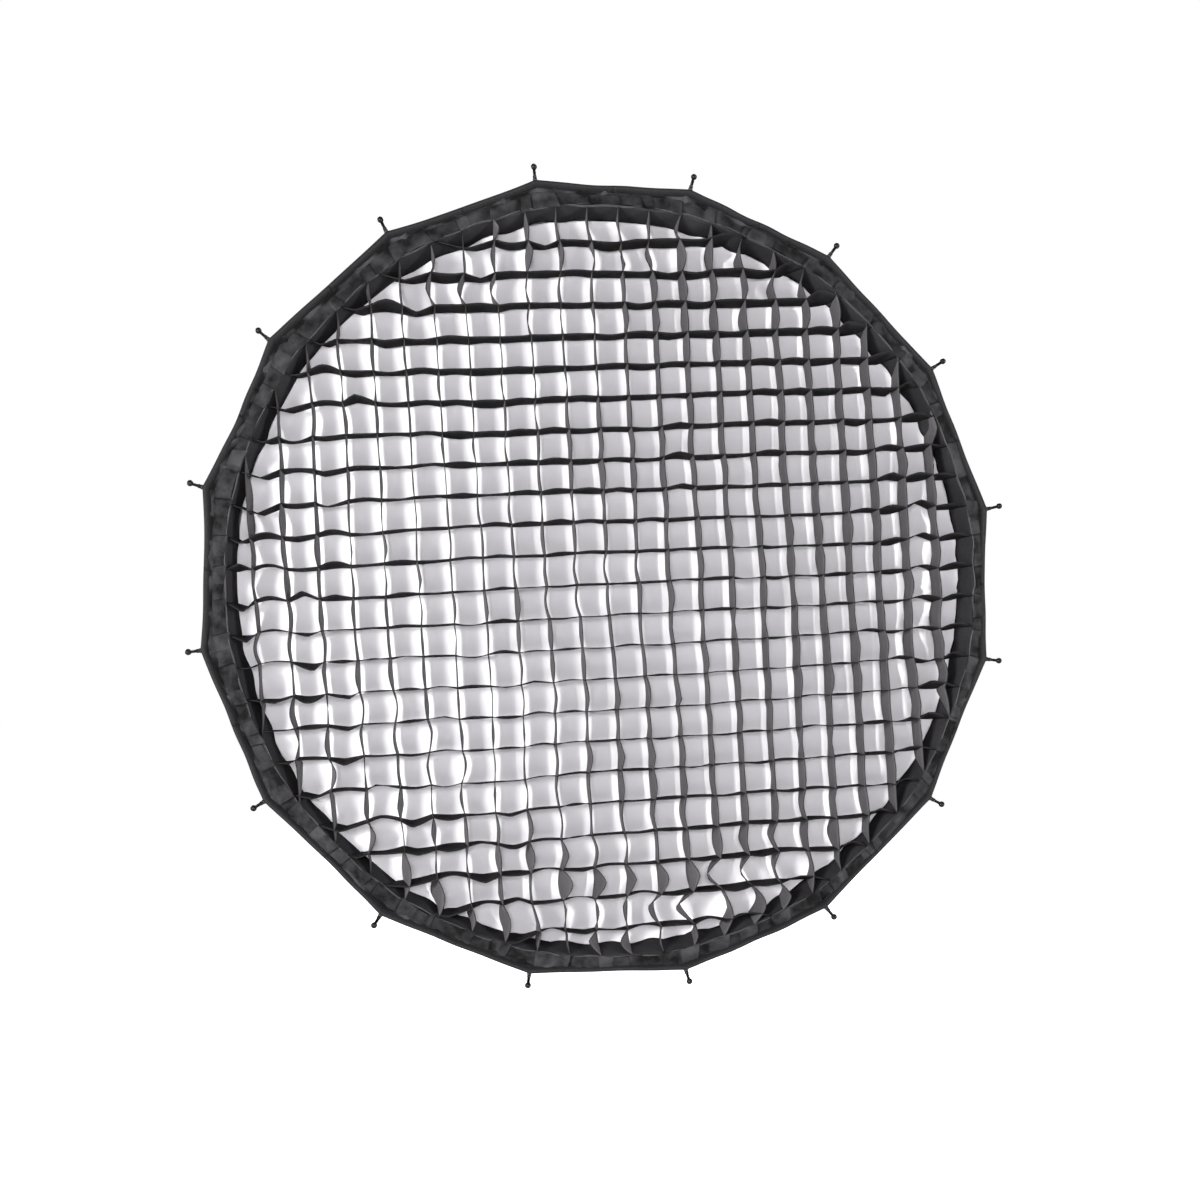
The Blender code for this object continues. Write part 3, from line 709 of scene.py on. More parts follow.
# ---- outer shell: sixteen petals, each centred on a rod ----
SHELL_PARTS = (  # from hub to hem: name, where it starts and ends, its rows, how much width it keeps folded
    ("hub", 0.0, 0.09, 8, 0.76), ("waist", 0.09, 0.34, 18, 0.60), ("skirt", 0.34, 0.60, 18, 0.43),
    ("flare", 0.60, 0.84, 17, 0.33), ("rim", 0.84, 1.0, 15, 0.24),
)
HEM_KEEP = 0.20


def flat_area(points):
    """Area of a grid of points."""
    a = points[1:, :-1] - points[:-1, :-1]
    b = points[:-1, 1:] - points[:-1, :-1]
    return float(np.linalg.norm(np.cross(a, b), axis=-1).sum())


def sewn(
    index, name, points, cloth, thickness, materials, replaces, keep=HEM_KEEP
):
    """One of sixteen sewn pieces, which rides on its rod."""
    made = new_object(f"{name}_{tag(index)}", sheet_mesh(name, [(points, cloth)]))
    solidify(made, thickness, len(materials) - 1)
    finish_piece(made, materials, f"rod_{tag(index)}", replaces, (rod_angle(index), keep))
    size = np.ptp(cloth[..., :2].reshape(-1, 2), axis=0)
    min(flat_area(points), float(size[0] * size[1]))
    return made


def make_shell():
    for part, start, end, rows, keep in SHELL_PARTS:
        def down(panel, w, along, start=start, end=end):
            return SHELL_SLOPE + (hem_slope(panel, w) - SHELL_SLOPE) * (start + (end - start) * along)

        for index in range(ROD_COUNT):
            points, cloth = petal(index, 14, rows, down, SHELL_INSIDE)
            made = sewn(index, f"shell_{part}", points, cloth, SHELL_T, ("black", "silver"),
                        ("outer_shell",), keep=keep)
            made.modifiers["thickness"].use_rim = False


def make_lip():
    """The black band inside the hem, which carries the loop tape for the grid and the diffuser."""
    def down(panel, w, along):
        return hem_slope(panel, w) + (RIM_SLOPE + LIP_DEPTH / ARC_RADIUS - hem_slope(panel, w)) * along

    nap_and_shade_tone = Folds(0.28, 70.0, 3.0, 12)
    for index in range(ROD_COUNT):
        points, cloth = petal(index, 60, 30, down, LIP_INSIDE, lip_height)
        nap_and_shade = nap_and_shade_tone.height(index / ROD_COUNT + cloth[..., 0] / RIM_LENGTH, cloth[..., 1] * 6.0)
        cloth = np.concatenate([cloth, nap_and_shade[..., None]], axis=-1)
        sewn(index, "lip_band", points, cloth, LIP_T, ("lip",), ("lip_hook_tape",))


BINDING_WIDTH = 0.0095
BINDING_T = 0.0007


def make_binding():
    """Folded tape over the hem: (distance back from the hem, distance inwards from the shell's cloth)."""
    profile = [
        (BINDING_WIDTH, 0.0030), (BINDING_WIDTH * 0.55, 0.0034), (0.0022, 0.0034), (0.0002, 0.0030),
        (-0.0012, 0.0018), (-0.0016, 0.0004), (-0.0012, -0.0010), (0.0002, -0.0018), (0.0022, -0.0019),
        (BINDING_WIDTH * 0.55, -0.0019), (BINDING_WIDTH, -0.0014),
    ]
    for index in range(ROD_COUNT):
        strips = []
        for back, inward in profile:
            def run(panel, w, along, back=back):
                return np.full_like(along, hem_slope(panel, w) + back / ARC_RADIUS)

            points, cloth = petal(index, 24, 2, run, SHELL_INSIDE + inward)
            strips.append((points[0], cloth[0]))
        points = np.stack([strip[0] for strip in strips])
        cloth = np.stack([strip[1] for strip in strips])
        length = np.cumsum([0.0] + [math.dist(a, b) for a, b in zip(profile, profile[1:])])
        cloth[:, :, 1] = length[:, None]
        sewn(index, "rim_binding", points, cloth, BINDING_T, ("binding",), ("rim_piping",))


# ---- rods, their sleeves and tips ----
def rod_line(index, runs, slopes, tip=(), inside=0.0):
    """Points along a rod: distances along its straight end, then slopes of its bow, then past the rim."""
    points = [hub_line(run, inside) for run in runs] + [arc(slope, inside) for slope in slopes]
    end_r, end_depth = arc(RIM_SLOPE, inside)
    points += [(end_r + s * math.sin(RIM_SLOPE), end_depth + s * math.cos(RIM_SLOPE)) for s in tip]
    r, depth = np.array(points).T
    return world(r, rod_angle(index), depth)


def make_rods():
    slopes = np.linspace(HUB_SLOPE, RIM_SLOPE, 40)[1:]
    shaft = TIP_LENGTH - BALL_RADIUS * 0.8
    ball = [(TIP_LENGTH - BALL_RADIUS * math.cos(a), max(BALL_RADIUS * math.sin(a), 0.0004))
            for a in np.linspace(0.55, math.pi, 9)]
    collar = [(0.0030, 0.0024), (0.0032, 0.0030), (0.0054, 0.0030), (0.0058, 0.0023)]
    for index in range(ROD_COUNT):
        tip = collar + [(shaft, 0.0023)] + ball
        path = rod_line(index, [SOCKET_START, ROD_STRAIGHT], slopes, [s for s, _ in tip])
        radii = [ROD_RADIUS] * (2 + len(slopes)) + [r for _, r in tip]
        rod = new_object(f"bow_rod_{tag(index)}", tube("bow_rod", path, radii, 14))
        finish_piece(rod, ("rod",), f"rod_{tag(index)}", (f"rod_{tag(index)}",))


SLEEVE_SIDE = [  # (distance sideways from the rod, distance out from the shell's cloth)
    (0.0, 0.0078), (0.0018, 0.0073), (0.0036, 0.0056), (0.0052, 0.0030), (0.0072, 0.0019),
    (0.0100, 0.0016), (0.0125, 0.0013),
]
SLEEVE_PROFILE = [(-sideways, out) for sideways, out in SLEEVE_SIDE[:0:-1]] + SLEEVE_SIDE


def make_sleeves():
    """The tunnels that hold the rods against the shell, with a row of stitches along each edge."""
    slopes = np.linspace(SHELL_SLOPE, RIM_SLOPE + 0.004 / ARC_RADIUS, 90)
    shape = (len(slopes), len(SLEEVE_PROFILE))
    for index in range(ROD_COUNT):
        angle = rod_angle(index)
        wobble = random.normal(0, 0.00012, shape)
        points, cloth = np.zeros((*shape, 3)), np.zeros((*shape, 2))
        for j, (sideways, out) in enumerate(SLEEVE_PROFILE):
            lean = abs(sideways) * math.sin(STEP / 2)
            across = abs(sideways) / (2 * arc(slopes)[0] * math.sin(STEP / 2))
            panel = (index - (sideways < 0)) % ROD_COUNT
            lift = bow(panel, slopes) * 4 * across * (1 - across)
            lift = lift + shell_height(panel, 1 - across if sideways < 0 else across, slopes)
            r, depth = arc(slopes, SHELL_INSIDE - out - wobble[:, j] + lean * 0.8 - lift)
            points[:, j] = world(r, angle, depth) + along_rim(angle) * sideways
            cloth[:, j] = strip_place(sideways, (SHELL_SLOPE - slopes) * ARC_RADIUS)
        made = add_piece(f"rod_sleeve_{tag(index)}", points, cloth, SLEEVE_T, "sleeve", f"rod_{tag(index)}",
                         "outer_shell")


def make_corner_tabs():
    """The sewn webbing that each rod's tip is pushed through, at the rim's corners."""
    for index in range(ROD_COUNT):
        back = [RIM_SLOPE + s / ARC_RADIUS for s in (0.016, 0.013, 0.009, 0.005, 0.001)]
        path = rod_line(index, [], back, (0.0016, 0.0030), 0.0004)
        radii = [0.0030, 0.0035, 0.0038, 0.0038, 0.0036, 0.0032, 0.0027]
        tab = new_object(f"corner_tab_{tag(index)}", tube("corner_tab", path, radii, 12))
        finish_piece(tab, ("boot",), f"rod_{tag(index)}", ("rim_piping",))


# ---- fabric grid ----
def shell_room(angle, depth, inside):
    """Distance from the axis to a layer inside the shell, at an angle and a depth."""
    panel = np.floor((angle - FIRST_ANGLE) / STEP)
    turn = (angle - FIRST_ANGLE) % STEP - STEP / 2
    across = 0.5 + np.tan(turn) / (2 * math.tan(STEP / 2))
    slope = slope_at(np.minimum(depth, RIM_DEPTH), inside)
    corner = arc(slope, inside)[0]
    lift = bow(panel, slope) * 4 * across * (1 - across)
    return (corner * math.cos(STEP / 2) + lift / np.cos(slope)) / np.cos(turn)


def ring_point(angle, flat_r, depth, roundness=BORDER_ROUNDNESS, clear=LIP_INSIDE + LIP_GAP):
    """Point on the grid's border: between a circle and the polygon of the rim, and never outside the lip."""
    turn = (np.asarray(angle) - FIRST_ANGLE) % STEP - STEP / 2
    r = flat_r * (1 + (1 - roundness) * (1 / np.cos(turn) - 1))
    depth = np.broadcast_to(depth, np.shape(r))
    point = world(r, angle, depth) + GRID_CENTRE
    reach = np.hypot(point[..., 0], point[..., 2])
    room = shell_room(np.arctan2(point[..., 2], point[..., 0]), depth, clear)
    share = np.minimum(1.0, room / np.maximum(reach, 1e-6))
    point[..., 0] *= share
    point[..., 2] *= share
    return point


class Field:
    """Smooth random shifts over the grid, in metres."""

    def __init__(self, size, shortest, count=10):
        self.waves = []
        for _ in range(count):
            heading = random.uniform(0, 2 * math.pi)
            rate = 2 * math.pi / (shortest * random.uniform(1.0, 2.5))
            self.waves.append((rate * math.cos(heading), rate * math.sin(heading),
                               random.uniform(0, 2 * math.pi), random.normal(0, size)))

    def __call__(self, x, z):
        return sum(size * np.sin(a * x + b * z + phase) for a, b, phase, size in self.waves)


def slack(x, z, axis=None):
    """How loosely a wall hangs: taut in the middle, loose near its own ends and low on the left."""
    low_left = np.exp(-(((x + 0.30) / 0.18) ** 2 + ((z + 0.36) / 0.13) ** 2))
    if axis is None:
        return 0.30 + 0.8 * smooth_step(np.hypot(x, z), 0.42, 0.55) + 0.7 * low_left
    along, across = (z, x) if axis == 0 else (x, z)
    ends = smooth_step(np.abs(along), 0.34, 0.53) * np.where(along < 0, 2.0, 1.1)
    sides = smooth_step(np.abs(across), 0.44, 0.54)
    return 0.42 + ends + 0.4 * sides + 0.8 * low_left


def crossings():
    """Where the walls cross, at the grid's front and at its back, in the grid's own directions.

    They are shifted smoothly and a little at random, most where the walls are loose.
    """
    x, z = np.meshgrid(*WALL_LINES, indexing="ij")
    warp = [Field(0.0005, 0.22), Field(0.0005, 0.22)]
    lean = [Field(0.0004, 0.20), Field(0.0004, 0.20)]
    loose = slack(x, z)
    places, layers = np.stack([x, z], -1), []
    for fields, scatter in ((warp, 0.0007), (lean, 0.0006)):
        places = places.copy()
        for k in (0, 1):
            places[..., k] += fields[k](x, z) * (0.6 + loose)
            places[..., k] += random.normal(0, scatter, x.shape) * (0.4 + loose)
        layers.append(places)
    return layers


def turned_point(flat, depth):
    """World point of a place in the grid's own directions."""
    c, s = math.cos(GRID_TURN), math.sin(GRID_TURN)
    x = flat[..., 0] * c - flat[..., 1] * s
    z = flat[..., 0] * s + flat[..., 1] * c
    return np.stack([x, np.broadcast_to(-np.asarray(depth, float), x.shape), z], axis=-1)


def border_span(line, axis, flat_r, depth):
    """Where a straight wall meets the border, as its two places along the wall."""
    angles = np.linspace(0, 2 * math.pi, 1441)
    ring = ring_point(angles, flat_r, depth)
    c, s = math.cos(GRID_TURN), math.sin(GRID_TURN)
    flat = np.stack([ring[:, 0] * c + ring[:, 2] * s, -ring[:, 0] * s + ring[:, 2] * c], -1)
    away, along = flat[:, axis] - line, flat[:, 1 - axis]
    i = np.flatnonzero((away[:-1] < 0) != (away[1:] < 0))
    hits = along[i] + (along[i + 1] - along[i]) * away[i] / (away[i] - away[i + 1])
    return (min(hits), max(hits)) if len(hits) > 1 else None


def wall_corners(line, axis, span):
    """The two ends of a straight wall, in the grid's own directions."""
    corners = np.full((2, 2), line)
    corners[:, 1 - axis] = span
    return corners


SEGMENTS = 10  # points from one crossing to the next
WALL_ROWS = 5
BULGE = 0.0048  # of a stretch of wall whose slack and random size are 1
MOST_STRETCHES = 32
CLEAR_OF_BORDER = 0.012  # a crossing closer to the border than this is left out
# The crosswalls' slack gathers at their left ends.
LEFT_KINKS = ((-1.2, 0.9), (0.7, 0.2), (-1.3, 0.8))  # bulge and sharpness of their first stretches
LEFT_LOOSE = (1.9, 1.6, 1.3)  # how loose those stretches are at least
RIGHT_KINK = (2.3, -0.4)  # the bulge of their last stretch, at the front and at the back


def buckles(lines):
    """Sideways bulge of each stretch of wall: neighbours bulge alike, because they pull on each other."""
    raw = random.normal(0, 1, (lines + 4, MOST_STRETCHES))
    shared = 0.45 * raw[2:-2] + 0.30 * (raw[1:-3] + raw[3:-1]) + 0.10 * (raw[:-4] + raw[4:])
    return shared * 1.4


def wall_strip(layers, axis, index, bulge, crease, shift):
    """One wall, from border to border: a grid of points, front edge first."""
    line = WALL_LINES[axis][index]
    spans = [border_span(line, axis, flat_r, depth)
             for flat_r, depth in ((BORDER_FRONT_R, GRID_FRONT), (BORDER_BACK_R, GRID_BACK))]
    if None in spans or spans[1][1] - spans[1][0] < 0.05:
        return None
    inner_low, inner_high = spans[1]
    keep = [j for j, place in enumerate(WALL_LINES[1 - axis])
            if inner_low + CLEAR_OF_BORDER < place < inner_high - CLEAR_OF_BORDER]
    edges = []
    for which, places in enumerate(layers):
        places = places[index] if axis == 0 else places[:, index]
        low, high = wall_corners(line, axis, spans[which])
        knots = [low] + [places[j] for j in keep] + [high]
        path = []
        for j, (a, b) in enumerate(zip(knots, knots[1:])):
            last = j == len(knots) - 2
            t = np.linspace(0, 1, SEGMENTS, endpoint=False)
            if last:
                t = np.append(t, 1.0)
            span = b - a
            loose = float(slack(*((a + b) / 2), axis))
            if axis == 1 and j < len(LEFT_LOOSE):
                loose = max(loose, LEFT_LOOSE[j])
            size = bulge[which][index, j] * loose * min(1.0, float(np.linalg.norm(span)) / GRID_PITCH)
            if axis == 1 and last:
                size = RIGHT_KINK[which] * (1 + 0.5 * bulge[0][index, -1])
            peak = 0.5 + 0.3 * shift[index, j]
            sharp = np.where(t < peak, t / peak, (1 - t) / (1 - peak))
            form = crease[index, j] * sharp + (1 - crease[index, j]) * np.sin(math.pi * t)
            step = a + span * t[:, None]
            step[:, axis] += BULGE * size * form
            path.append(step)
        edges.append(np.concatenate(path))
    front, back = edges
    share = np.linspace(0, 1, WALL_ROWS)
    points = np.stack([turned_point(front + (back - front) * w, GRID_FRONT - GRID_DEPTH * w) for w in share])
    length = np.concatenate([[0], np.cumsum(np.linalg.norm(np.diff(front, axis=0), axis=1))])
    return points, np.stack(np.meshgrid(length, share * GRID_DEPTH), axis=-1)


def make_grid():
    layers = crossings()
    # The uprights take the lighter copy of the cloth, painted light, and the crosswalls the darker copy,
    # painted shade.
    for axis, name, cloth_name in ((0, "grid_uprights", "grid"), (1, "grid_crosswalls", "crosswall")):
        count = len(WALL_LINES[axis])
        shared = buckles(count)
        bulge = (shared + 0.5 * buckles(count), 0.35 * shared + 0.8 * buckles(count))
        crease = random.uniform(0, 1, (count, MOST_STRETCHES)) ** 1.5
        if axis == 1:
            for j, (kink, sharpness) in enumerate(LEFT_KINKS):
                crease[:, j] = sharpness
                turned_over = np.where(random.uniform(0, 1, count) < 0.2, -1, 1)
                for part, share in zip(bulge, (1.0, 0.55)):
                    kinks = share * kink * turned_over * random.uniform(0.5, 1.3, count)
                    part[:, j] = kinks + 0.3 * part[:, j]
        shift = np.clip(buckles(count) * 0.5, -1, 1)
        strips, area = [], 0.0
        for index in range(count):
            found = wall_strip(layers, axis, index, bulge, crease, shift)
            if found is None:
                continue
            points, cloth = found
            area += flat_area(points)
            strips.append((points, cloth + (0.0, 0.05 * index)))
        walls = new_object(name, sheet_mesh(name, strips))
        solidify(walls, GRID_WALL_T).material_offset_rim = 1
        finish_piece(walls, (cloth_name, "binding"), "grid", ("fabric_grid",))


def make_border():
    """The band round the grid: its back edge lies further in than its front edge."""
    angles = around(960)
    wave = [Folds(0.0006, 60.0, 0.0, 12), Folds(0.0009, 120.0, 0.0, 16)]
    shares = np.linspace(0, 1, 9)
    rows = []
    for share in shares:
        flat_r = BORDER_FRONT_R + (BORDER_BACK_R - BORDER_FRONT_R) * share
        ripple = (1 - share) * wave[0].round(angles) + share * wave[1].round(angles)
        ripple = ripple - 0.0012 * math.sin(math.pi * share)
        rows.append(ring_point(angles, flat_r + ripple + 0.0012, GRID_FRONT - GRID_DEPTH * share))
    cloth = np.stack(np.meshgrid(angles * BORDER_BACK_R, shares * GRID_DEPTH), axis=-1)
    band = add_piece("grid_band", np.stack(rows), cloth, BORDER_T, "border", "grid",
                     "grid_border", RING)


def make_bead():
    """The narrow binding along the border's front edge."""
    angles, turns = around(960), around(10)
    ripple = Folds(0.0004, 60.0, 0.0, 10).round(angles)
    points = np.stack([
        ring_point(angles, BORDER_FRONT_R + 0.0006 + ripple + BEAD_T / 2 * math.cos(t),
                   GRID_FRONT - 0.0022 + BEAD_WIDTH / 2 * math.sin(t))
        for t in turns
    ])
    cloth = np.stack(np.meshgrid(angles * BORDER_FRONT_R, turns * BEAD_WIDTH / math.pi), axis=-1)
    bead = add_piece("grid_bead", points, cloth, None, "bead", "grid", "grid_border",
                     (True, True))


def wall_ends(axis):
    """Angles at which the walls of one direction meet the border's front edge."""
    angles = []
    for line in WALL_LINES[axis]:
        span = border_span(line, axis, BORDER_FRONT_R, GRID_FRONT)
        if span is not None:
            points = turned_point(wall_corners(line, axis, span), 0.0) - GRID_CENTRE
            angles += [math.atan2(point[2], point[0]) for point in points]
    return angles


def make_flap():
    """The grid's hook tape: a flap from the border's front edge to the hem, pleated at each wall, with
    painted shade on the shaded side of each pleat and painted light on its other side.
    """
    angles = around(2400, -math.pi)
    pleat, lean, nap_and_shade = np.zeros(len(angles)), np.zeros(len(angles)), np.full(len(angles), -0.1)
    for axis, share in ((0, 1.0), (1, 0.8)):
        for end in wall_ends(axis):
            away = (angles - end + math.pi) % (2 * math.pi) - math.pi
            away = away * BORDER_FRONT_R - random.normal(0, 0.002)
            left, right = random.permutation([random.uniform(0.002, 0.006), random.uniform(0.012, 0.028)])
            size = share * random.uniform(0.005, 0.013)
            here = size * np.clip(np.where(away < 0, 1 + away / left, 1 - away / right), 0, 1)
            lean = np.where(here > pleat, np.sign(left - right) * here, lean)
            # Painted shade and painted light: the steep side of each pleat, which the lamps leave in shade,
            # gets a dark tone and its gentle side a lighter one.
            light, dark = random.uniform(-0.4, 0.9), random.uniform(-1.0, -0.5)
            lit_side = (away < 0) == (left > right)
            nap_and_shade = np.where(here > pleat, np.where(lit_side, light, dark), nap_and_shade)
            pleat = np.maximum(pleat, here)
    ripple = [Folds(0.0006, 90.0, 0.0, 12), Folds(0.0004, 60.0, 0.0, 10)]
    points, cloth = [], []
    for share in np.linspace(0, 1, 13):
        rise = (1 - share) ** 0.7
        flat_r = BORDER_FRONT_R + 0.0014 + (FLAP_R - BORDER_FRONT_R) * share
        flat_r = flat_r - pleat * 0.5 * (1 - share)
        height = pleat * rise + ripple[0].round(angles) * (1 - share) + ripple[1].round(angles)
        depth = GRID_FRONT + 0.0006 - FLAP_FALL * share + height
        at = angles + 0.6 * lean * rise / BORDER_FRONT_R
        roundness = BORDER_ROUNDNESS * (1 - share) + 0.05
        points.append(ring_point(at, flat_r, depth, roundness, LIP_INSIDE - 0.001))
        place = (angles * BORDER_FRONT_R, np.full(len(angles), share * 0.018), nap_and_shade * (1 - 0.6 * share))
        cloth.append(np.stack(place, -1))
    flap = add_piece("grid_flap", np.stack(points), np.stack(cloth), LIP_T, "lip", "grid",
                     "grid_border", RING)


# ---- front diffuser ----
def make_diffuser():
    """A stretched sheet whose edge turns forward up the lip, to just behind the grid."""
    angles = around(768)
    shares = np.concatenate([np.linspace(0.0, 0.93, 40), np.linspace(0.94, 1.0, 12)])
    ripple = Folds(0.0009, 60.0, 0.0, 14)
    sag = Field(0.0004, 0.30)
    rows = []
    for share in shares:
        edge = smooth_step(share, 0.955, 1.0)
        ring = ring_point(angles, (BORDER_BACK_R + 0.0020) * share, DIFFUSER_DEPTH + DIFFUSER_TURN * edge)
        ring -= GRID_CENTRE * (1 - share)
        near_edge = smooth_step(share, 0.80, 0.96) * (1 - edge)
        ring[:, 1] += sag(ring[:, 0], ring[:, 2]) + ripple.round(angles) * near_edge
        rows.append(ring)
    points = np.stack(rows)
    made = add_piece("diffuser_sheet", points, points[..., (0, 2)], WHITE_T, "white", "diffuser",
                     "front_diffuser", RING, join=True)


# ---- inner baffle, its straps and the rear collar ----
STRAP_COUNT = 8
BAFFLE_R = 0.298
BAFFLE_SCALLOP = 0.014  # how far its edge draws in between two straps
HEM_T = 0.0004
STRAP_WIDTH = 0.012
STRAP_T = 0.0010
STRAP_OVERLAP = 0.020  # how far a strap's sewn end runs in over the hem
COLLAR_AWAY = 0.0077  # from the rods' centre lines inwards
COLLAR_T = 0.0009


def baffle_radius(angle):
    """The baffle's edge: pulled out at each strap and drawn in between them."""
    turn = (np.asarray(angle) - FIRST_ANGLE) * STRAP_COUNT
    return BAFFLE_R - BAFFLE_SCALLOP * (0.5 - 0.5 * np.cos(turn)) ** 0.8


def make_baffle():
    """The inner cloth with a turned and stitched hem."""
    angles = around(384)
    shares = np.concatenate([np.linspace(0.0, 0.95, 30), np.linspace(0.955, 1.0, 6)])
    sag = Field(0.0005, 0.16)
    pull = np.abs(np.cos((angles - FIRST_ANGLE) * STRAP_COUNT / 2)) ** 12
    ridges = Folds(0.0009, 40.0, 0.0, 12).round(angles)

    def ring(r, ridge_share, forward):
        lift = sag(r * np.cos(angles), r * np.sin(angles)) + ridges * ridge_share * (1 - pull)
        return world(r, angles, BAFFLE_DEPTH + lift + forward)

    points = np.stack([
        ring(baffle_radius(angles) * share, smooth_step(share, 0.55, 0.95), 0.0) for share in shares
    ])
    made = add_piece("baffle_cloth", points, points[..., (0, 2)], WHITE_T, "white", "baffle",
                     "inner_baffle", RING, join=True)

    hem = [(0.0115, 0.0008), (0.0020, 0.0011), (-0.0004, 0.0004), (-0.0004, -0.0006), (0.0020, -0.0012),
           (0.0115, -0.0009)]
    points = np.stack([ring(baffle_radius(angles) - inward, 1.0, forward) for inward, forward in hem])
    cloth = np.stack(np.meshgrid(angles * BAFFLE_R, np.arange(len(hem)) * 0.005), axis=-1)
    border = add_piece("baffle_hem", points, cloth, HEM_T, "white", "baffle",
                       "inner_baffle", RING)


def make_straps():
    """Elastic straps from the baffle's hem to the shell, each with a stitched end on the hem."""
    for index in range(STRAP_COUNT):
        angle = FIRST_ANGLE + index * 2 * math.pi / STRAP_COUNT
        outer = float(arc(slope_at(BAFFLE_DEPTH, SHELL_INSIDE), SHELL_INSIDE + 0.0012)[0])
        along = np.concatenate([
            np.linspace(BAFFLE_R - STRAP_OVERLAP, BAFFLE_R, 8), np.linspace(BAFFLE_R + 0.004, outer, 24)
        ])
        on_hem = 1 - smooth_step(along, BAFFLE_R - 0.002, BAFFLE_R + 0.008)
        wave = 0.0010 * np.sin((along - BAFFLE_R) * 60.0 + random.uniform(0, 6)) * (1 - on_hem)
        share = np.clip((along - BAFFLE_R) / (outer - BAFFLE_R), 0, 1)
        twist = random.normal(0, 0.05) * np.sin(math.pi * share)
        sides = np.linspace(-STRAP_WIDTH / 2, STRAP_WIDTH / 2, 5)
        points = np.stack([
            world(along, angle, BAFFLE_DEPTH + 0.0019 * on_hem + wave + twist * side)
            + along_rim(angle) * side
            for side in sides
        ], axis=1)
        cloth = np.stack([strip_place(side, along) for side in sides], axis=1)
        strap = add_piece(f"baffle_elastic_{index + 1}", points, cloth, STRAP_T, "elastic", "baffle",
                          f"baffle_strap_{index + 1}")


def make_collar():
    """The gathered elastic that closes the shell round the ring, in sixteen gores between ring and rod."""
    runs = np.linspace(0.0125, 0.0460, 26)
    turns = np.linspace(-0.5, 0.5, 33)
    share = (runs - runs[0]) / (runs[-1] - runs[0])
    elastic = 0.0008 * np.cos(math.pi * np.clip(share / 0.22, 0, 1)) * (share < 0.22)
    for index in range(ROD_COUNT):
        columns, places = [], []
        for turn in turns:
            gather = math.cos(2 * math.pi * turn * 9) * 0.0011
            out = gather * (1 - 0.75 * share) + 0.0009 * math.cos(2 * math.pi * turn * 4) * (1 - share)
            away = COLLAR_AWAY + out + elastic
            r, depth = hub_line(runs, away)
            columns.append(world(r, rod_angle(index) + turn * STEP, depth))
            places.append(strip_place(turn * STEP * 0.16, runs))
        points, cloth = np.stack(columns, axis=1), np.stack(places, axis=1)
        gore = new_object(f"collar_gore_{tag(index)}", sheet_mesh("collar_gore", [(points, cloth)]))
        solidify(gore, COLLAR_T)
        gore.data.materials.append(MATERIALS["elastic"])
        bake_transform(gore)
        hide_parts("rear_collar")


def dress_cad():
    """Materials and broken edges for the pieces that are shown as the CAD has them."""
    for name, node in NODES.items():
        for start, material, edge in CAD_LOOKS:
            if not name.startswith(start):
                continue
            node.data.materials.clear()
            node.data.materials.append(MATERIALS[material])
            if edge:
                node.modifiers.new("joined", "WELD").merge_threshold = 0.000005
                broken = node.modifiers.new("broken_edges", "BEVEL")
                broken.width = edge
                broken.segments = 2
                broken.limit_method = "ANGLE"
                broken.angle_limit = math.radians(32)
                broken.harden_normals = True


# ---- camera, light and floor ----
def make_camera():
    data = bpy.data.cameras.new("camera")
    data.sensor_width = 36.0
    data.lens = 42.36
    data.shift_x, data.shift_y = -0.0621, 0.0656
    data.clip_start = 0.05
    data.clip_end = 60.0
    camera = new_object("camera", data)
    yaw, pitch, roll = math.radians(8.9), math.radians(0.88), math.radians(0.33)
    camera.location = (-0.232, -2.518, -0.185)
    turn = Matrix.Rotation(-yaw, 4, "Z") @ Matrix.Rotation(math.radians(90) + pitch, 4, "X")
    camera.matrix_world = Matrix.Translation(camera.location) @ turn @ Matrix.Rotation(roll, 4, "Z")
    bpy.context.scene.camera = camera


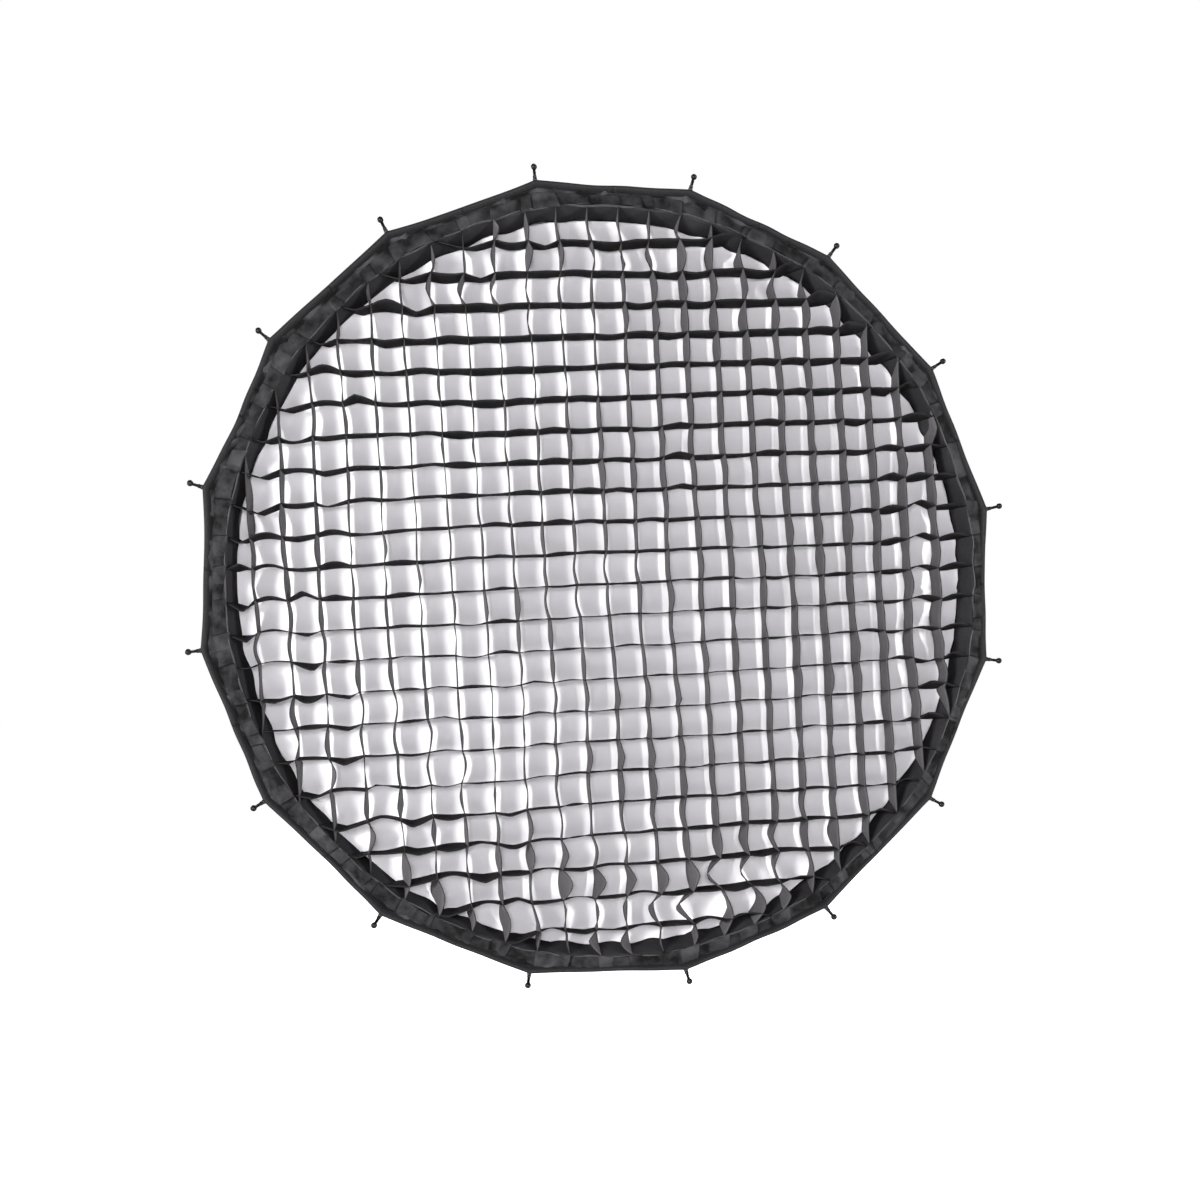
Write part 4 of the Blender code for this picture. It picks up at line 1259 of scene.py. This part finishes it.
def area_light(name, place, target, size, power, colour=(1, 1, 1)):
    data = bpy.data.lights.new(name, "AREA")
    data.shape = "RECTANGLE"
    data.size, data.size_y = size
    data.energy = power
    data.color = colour
    light = new_object(name, data)
    light.location = place
    light.rotation_euler = (Vector(target) - Vector(place)).to_track_quat("-Z", "Y").to_euler()


AMBIENT = 0.09  # what the white room adds to the light; the camera sees it as pure white


def make_light():
    scene = bpy.context.scene
    scene.view_settings.view_transform = "Standard"
    scene.world = bpy.data.worlds.new("studio")
    scene.world.use_nodes = True
    tree = scene.world.node_tree
    seen = tree.nodes.new("ShaderNodeLightPath")
    mix = tree.nodes.new("ShaderNodeMixShader")
    dim = tree.nodes.new("ShaderNodeBackground")
    tree.links.new(seen.outputs["Is Camera Ray"], mix.inputs[0])
    for socket, shade, strength in ((1, dim, AMBIENT), (2, tree.nodes["Background"], 1.0)):
        shade.inputs["Color"].default_value = (1.0, 1.0, 1.0, 1.0)
        shade.inputs["Strength"].default_value = strength
        tree.links.new(shade.outputs[0], mix.inputs[socket])
    tree.links.new(mix.outputs[0], tree.nodes["World Output"].inputs["Surface"])
    front, back = (0.0, -RIM_DEPTH, 0.0), (0, 0, 0)
    area_light("left_strip", (-2.15, -2.7, 0.1), front, (0.9, 0.6), 150)
    area_light("right_strip", (3.4, -3.25, 0.1), front, (0.45, 0.6), 190)
    area_light("front_soft", (-0.3, -3.3, 0.0), front, (0.7, 0.7), 46, (0.985, 0.965, 1.0))
    area_light("back_soft", (1.2, 2.6, 2.4), back, (2.0, 2.0), 100)
    area_light("back_strip", (-2.3, 1.7, 0.5), back, (0.6, 1.6), 45)


def make_floor():
    bpy.ops.mesh.primitive_plane_add(size=60.0, location=(0, 0, cad_low.z - 0.18))
    floor = bpy.context.object
    floor.name = "floor"
    floor.data.materials.append(floor_paint().material)


for make in (
    make_camera, make_light, make_floor, dress_cad, make_shell, make_lip, make_binding, make_rods,
    make_sleeves, make_corner_tabs, make_grid, make_border, make_flap, make_bead, make_diffuser,
    make_baffle, make_straps, make_collar,
):
    make()
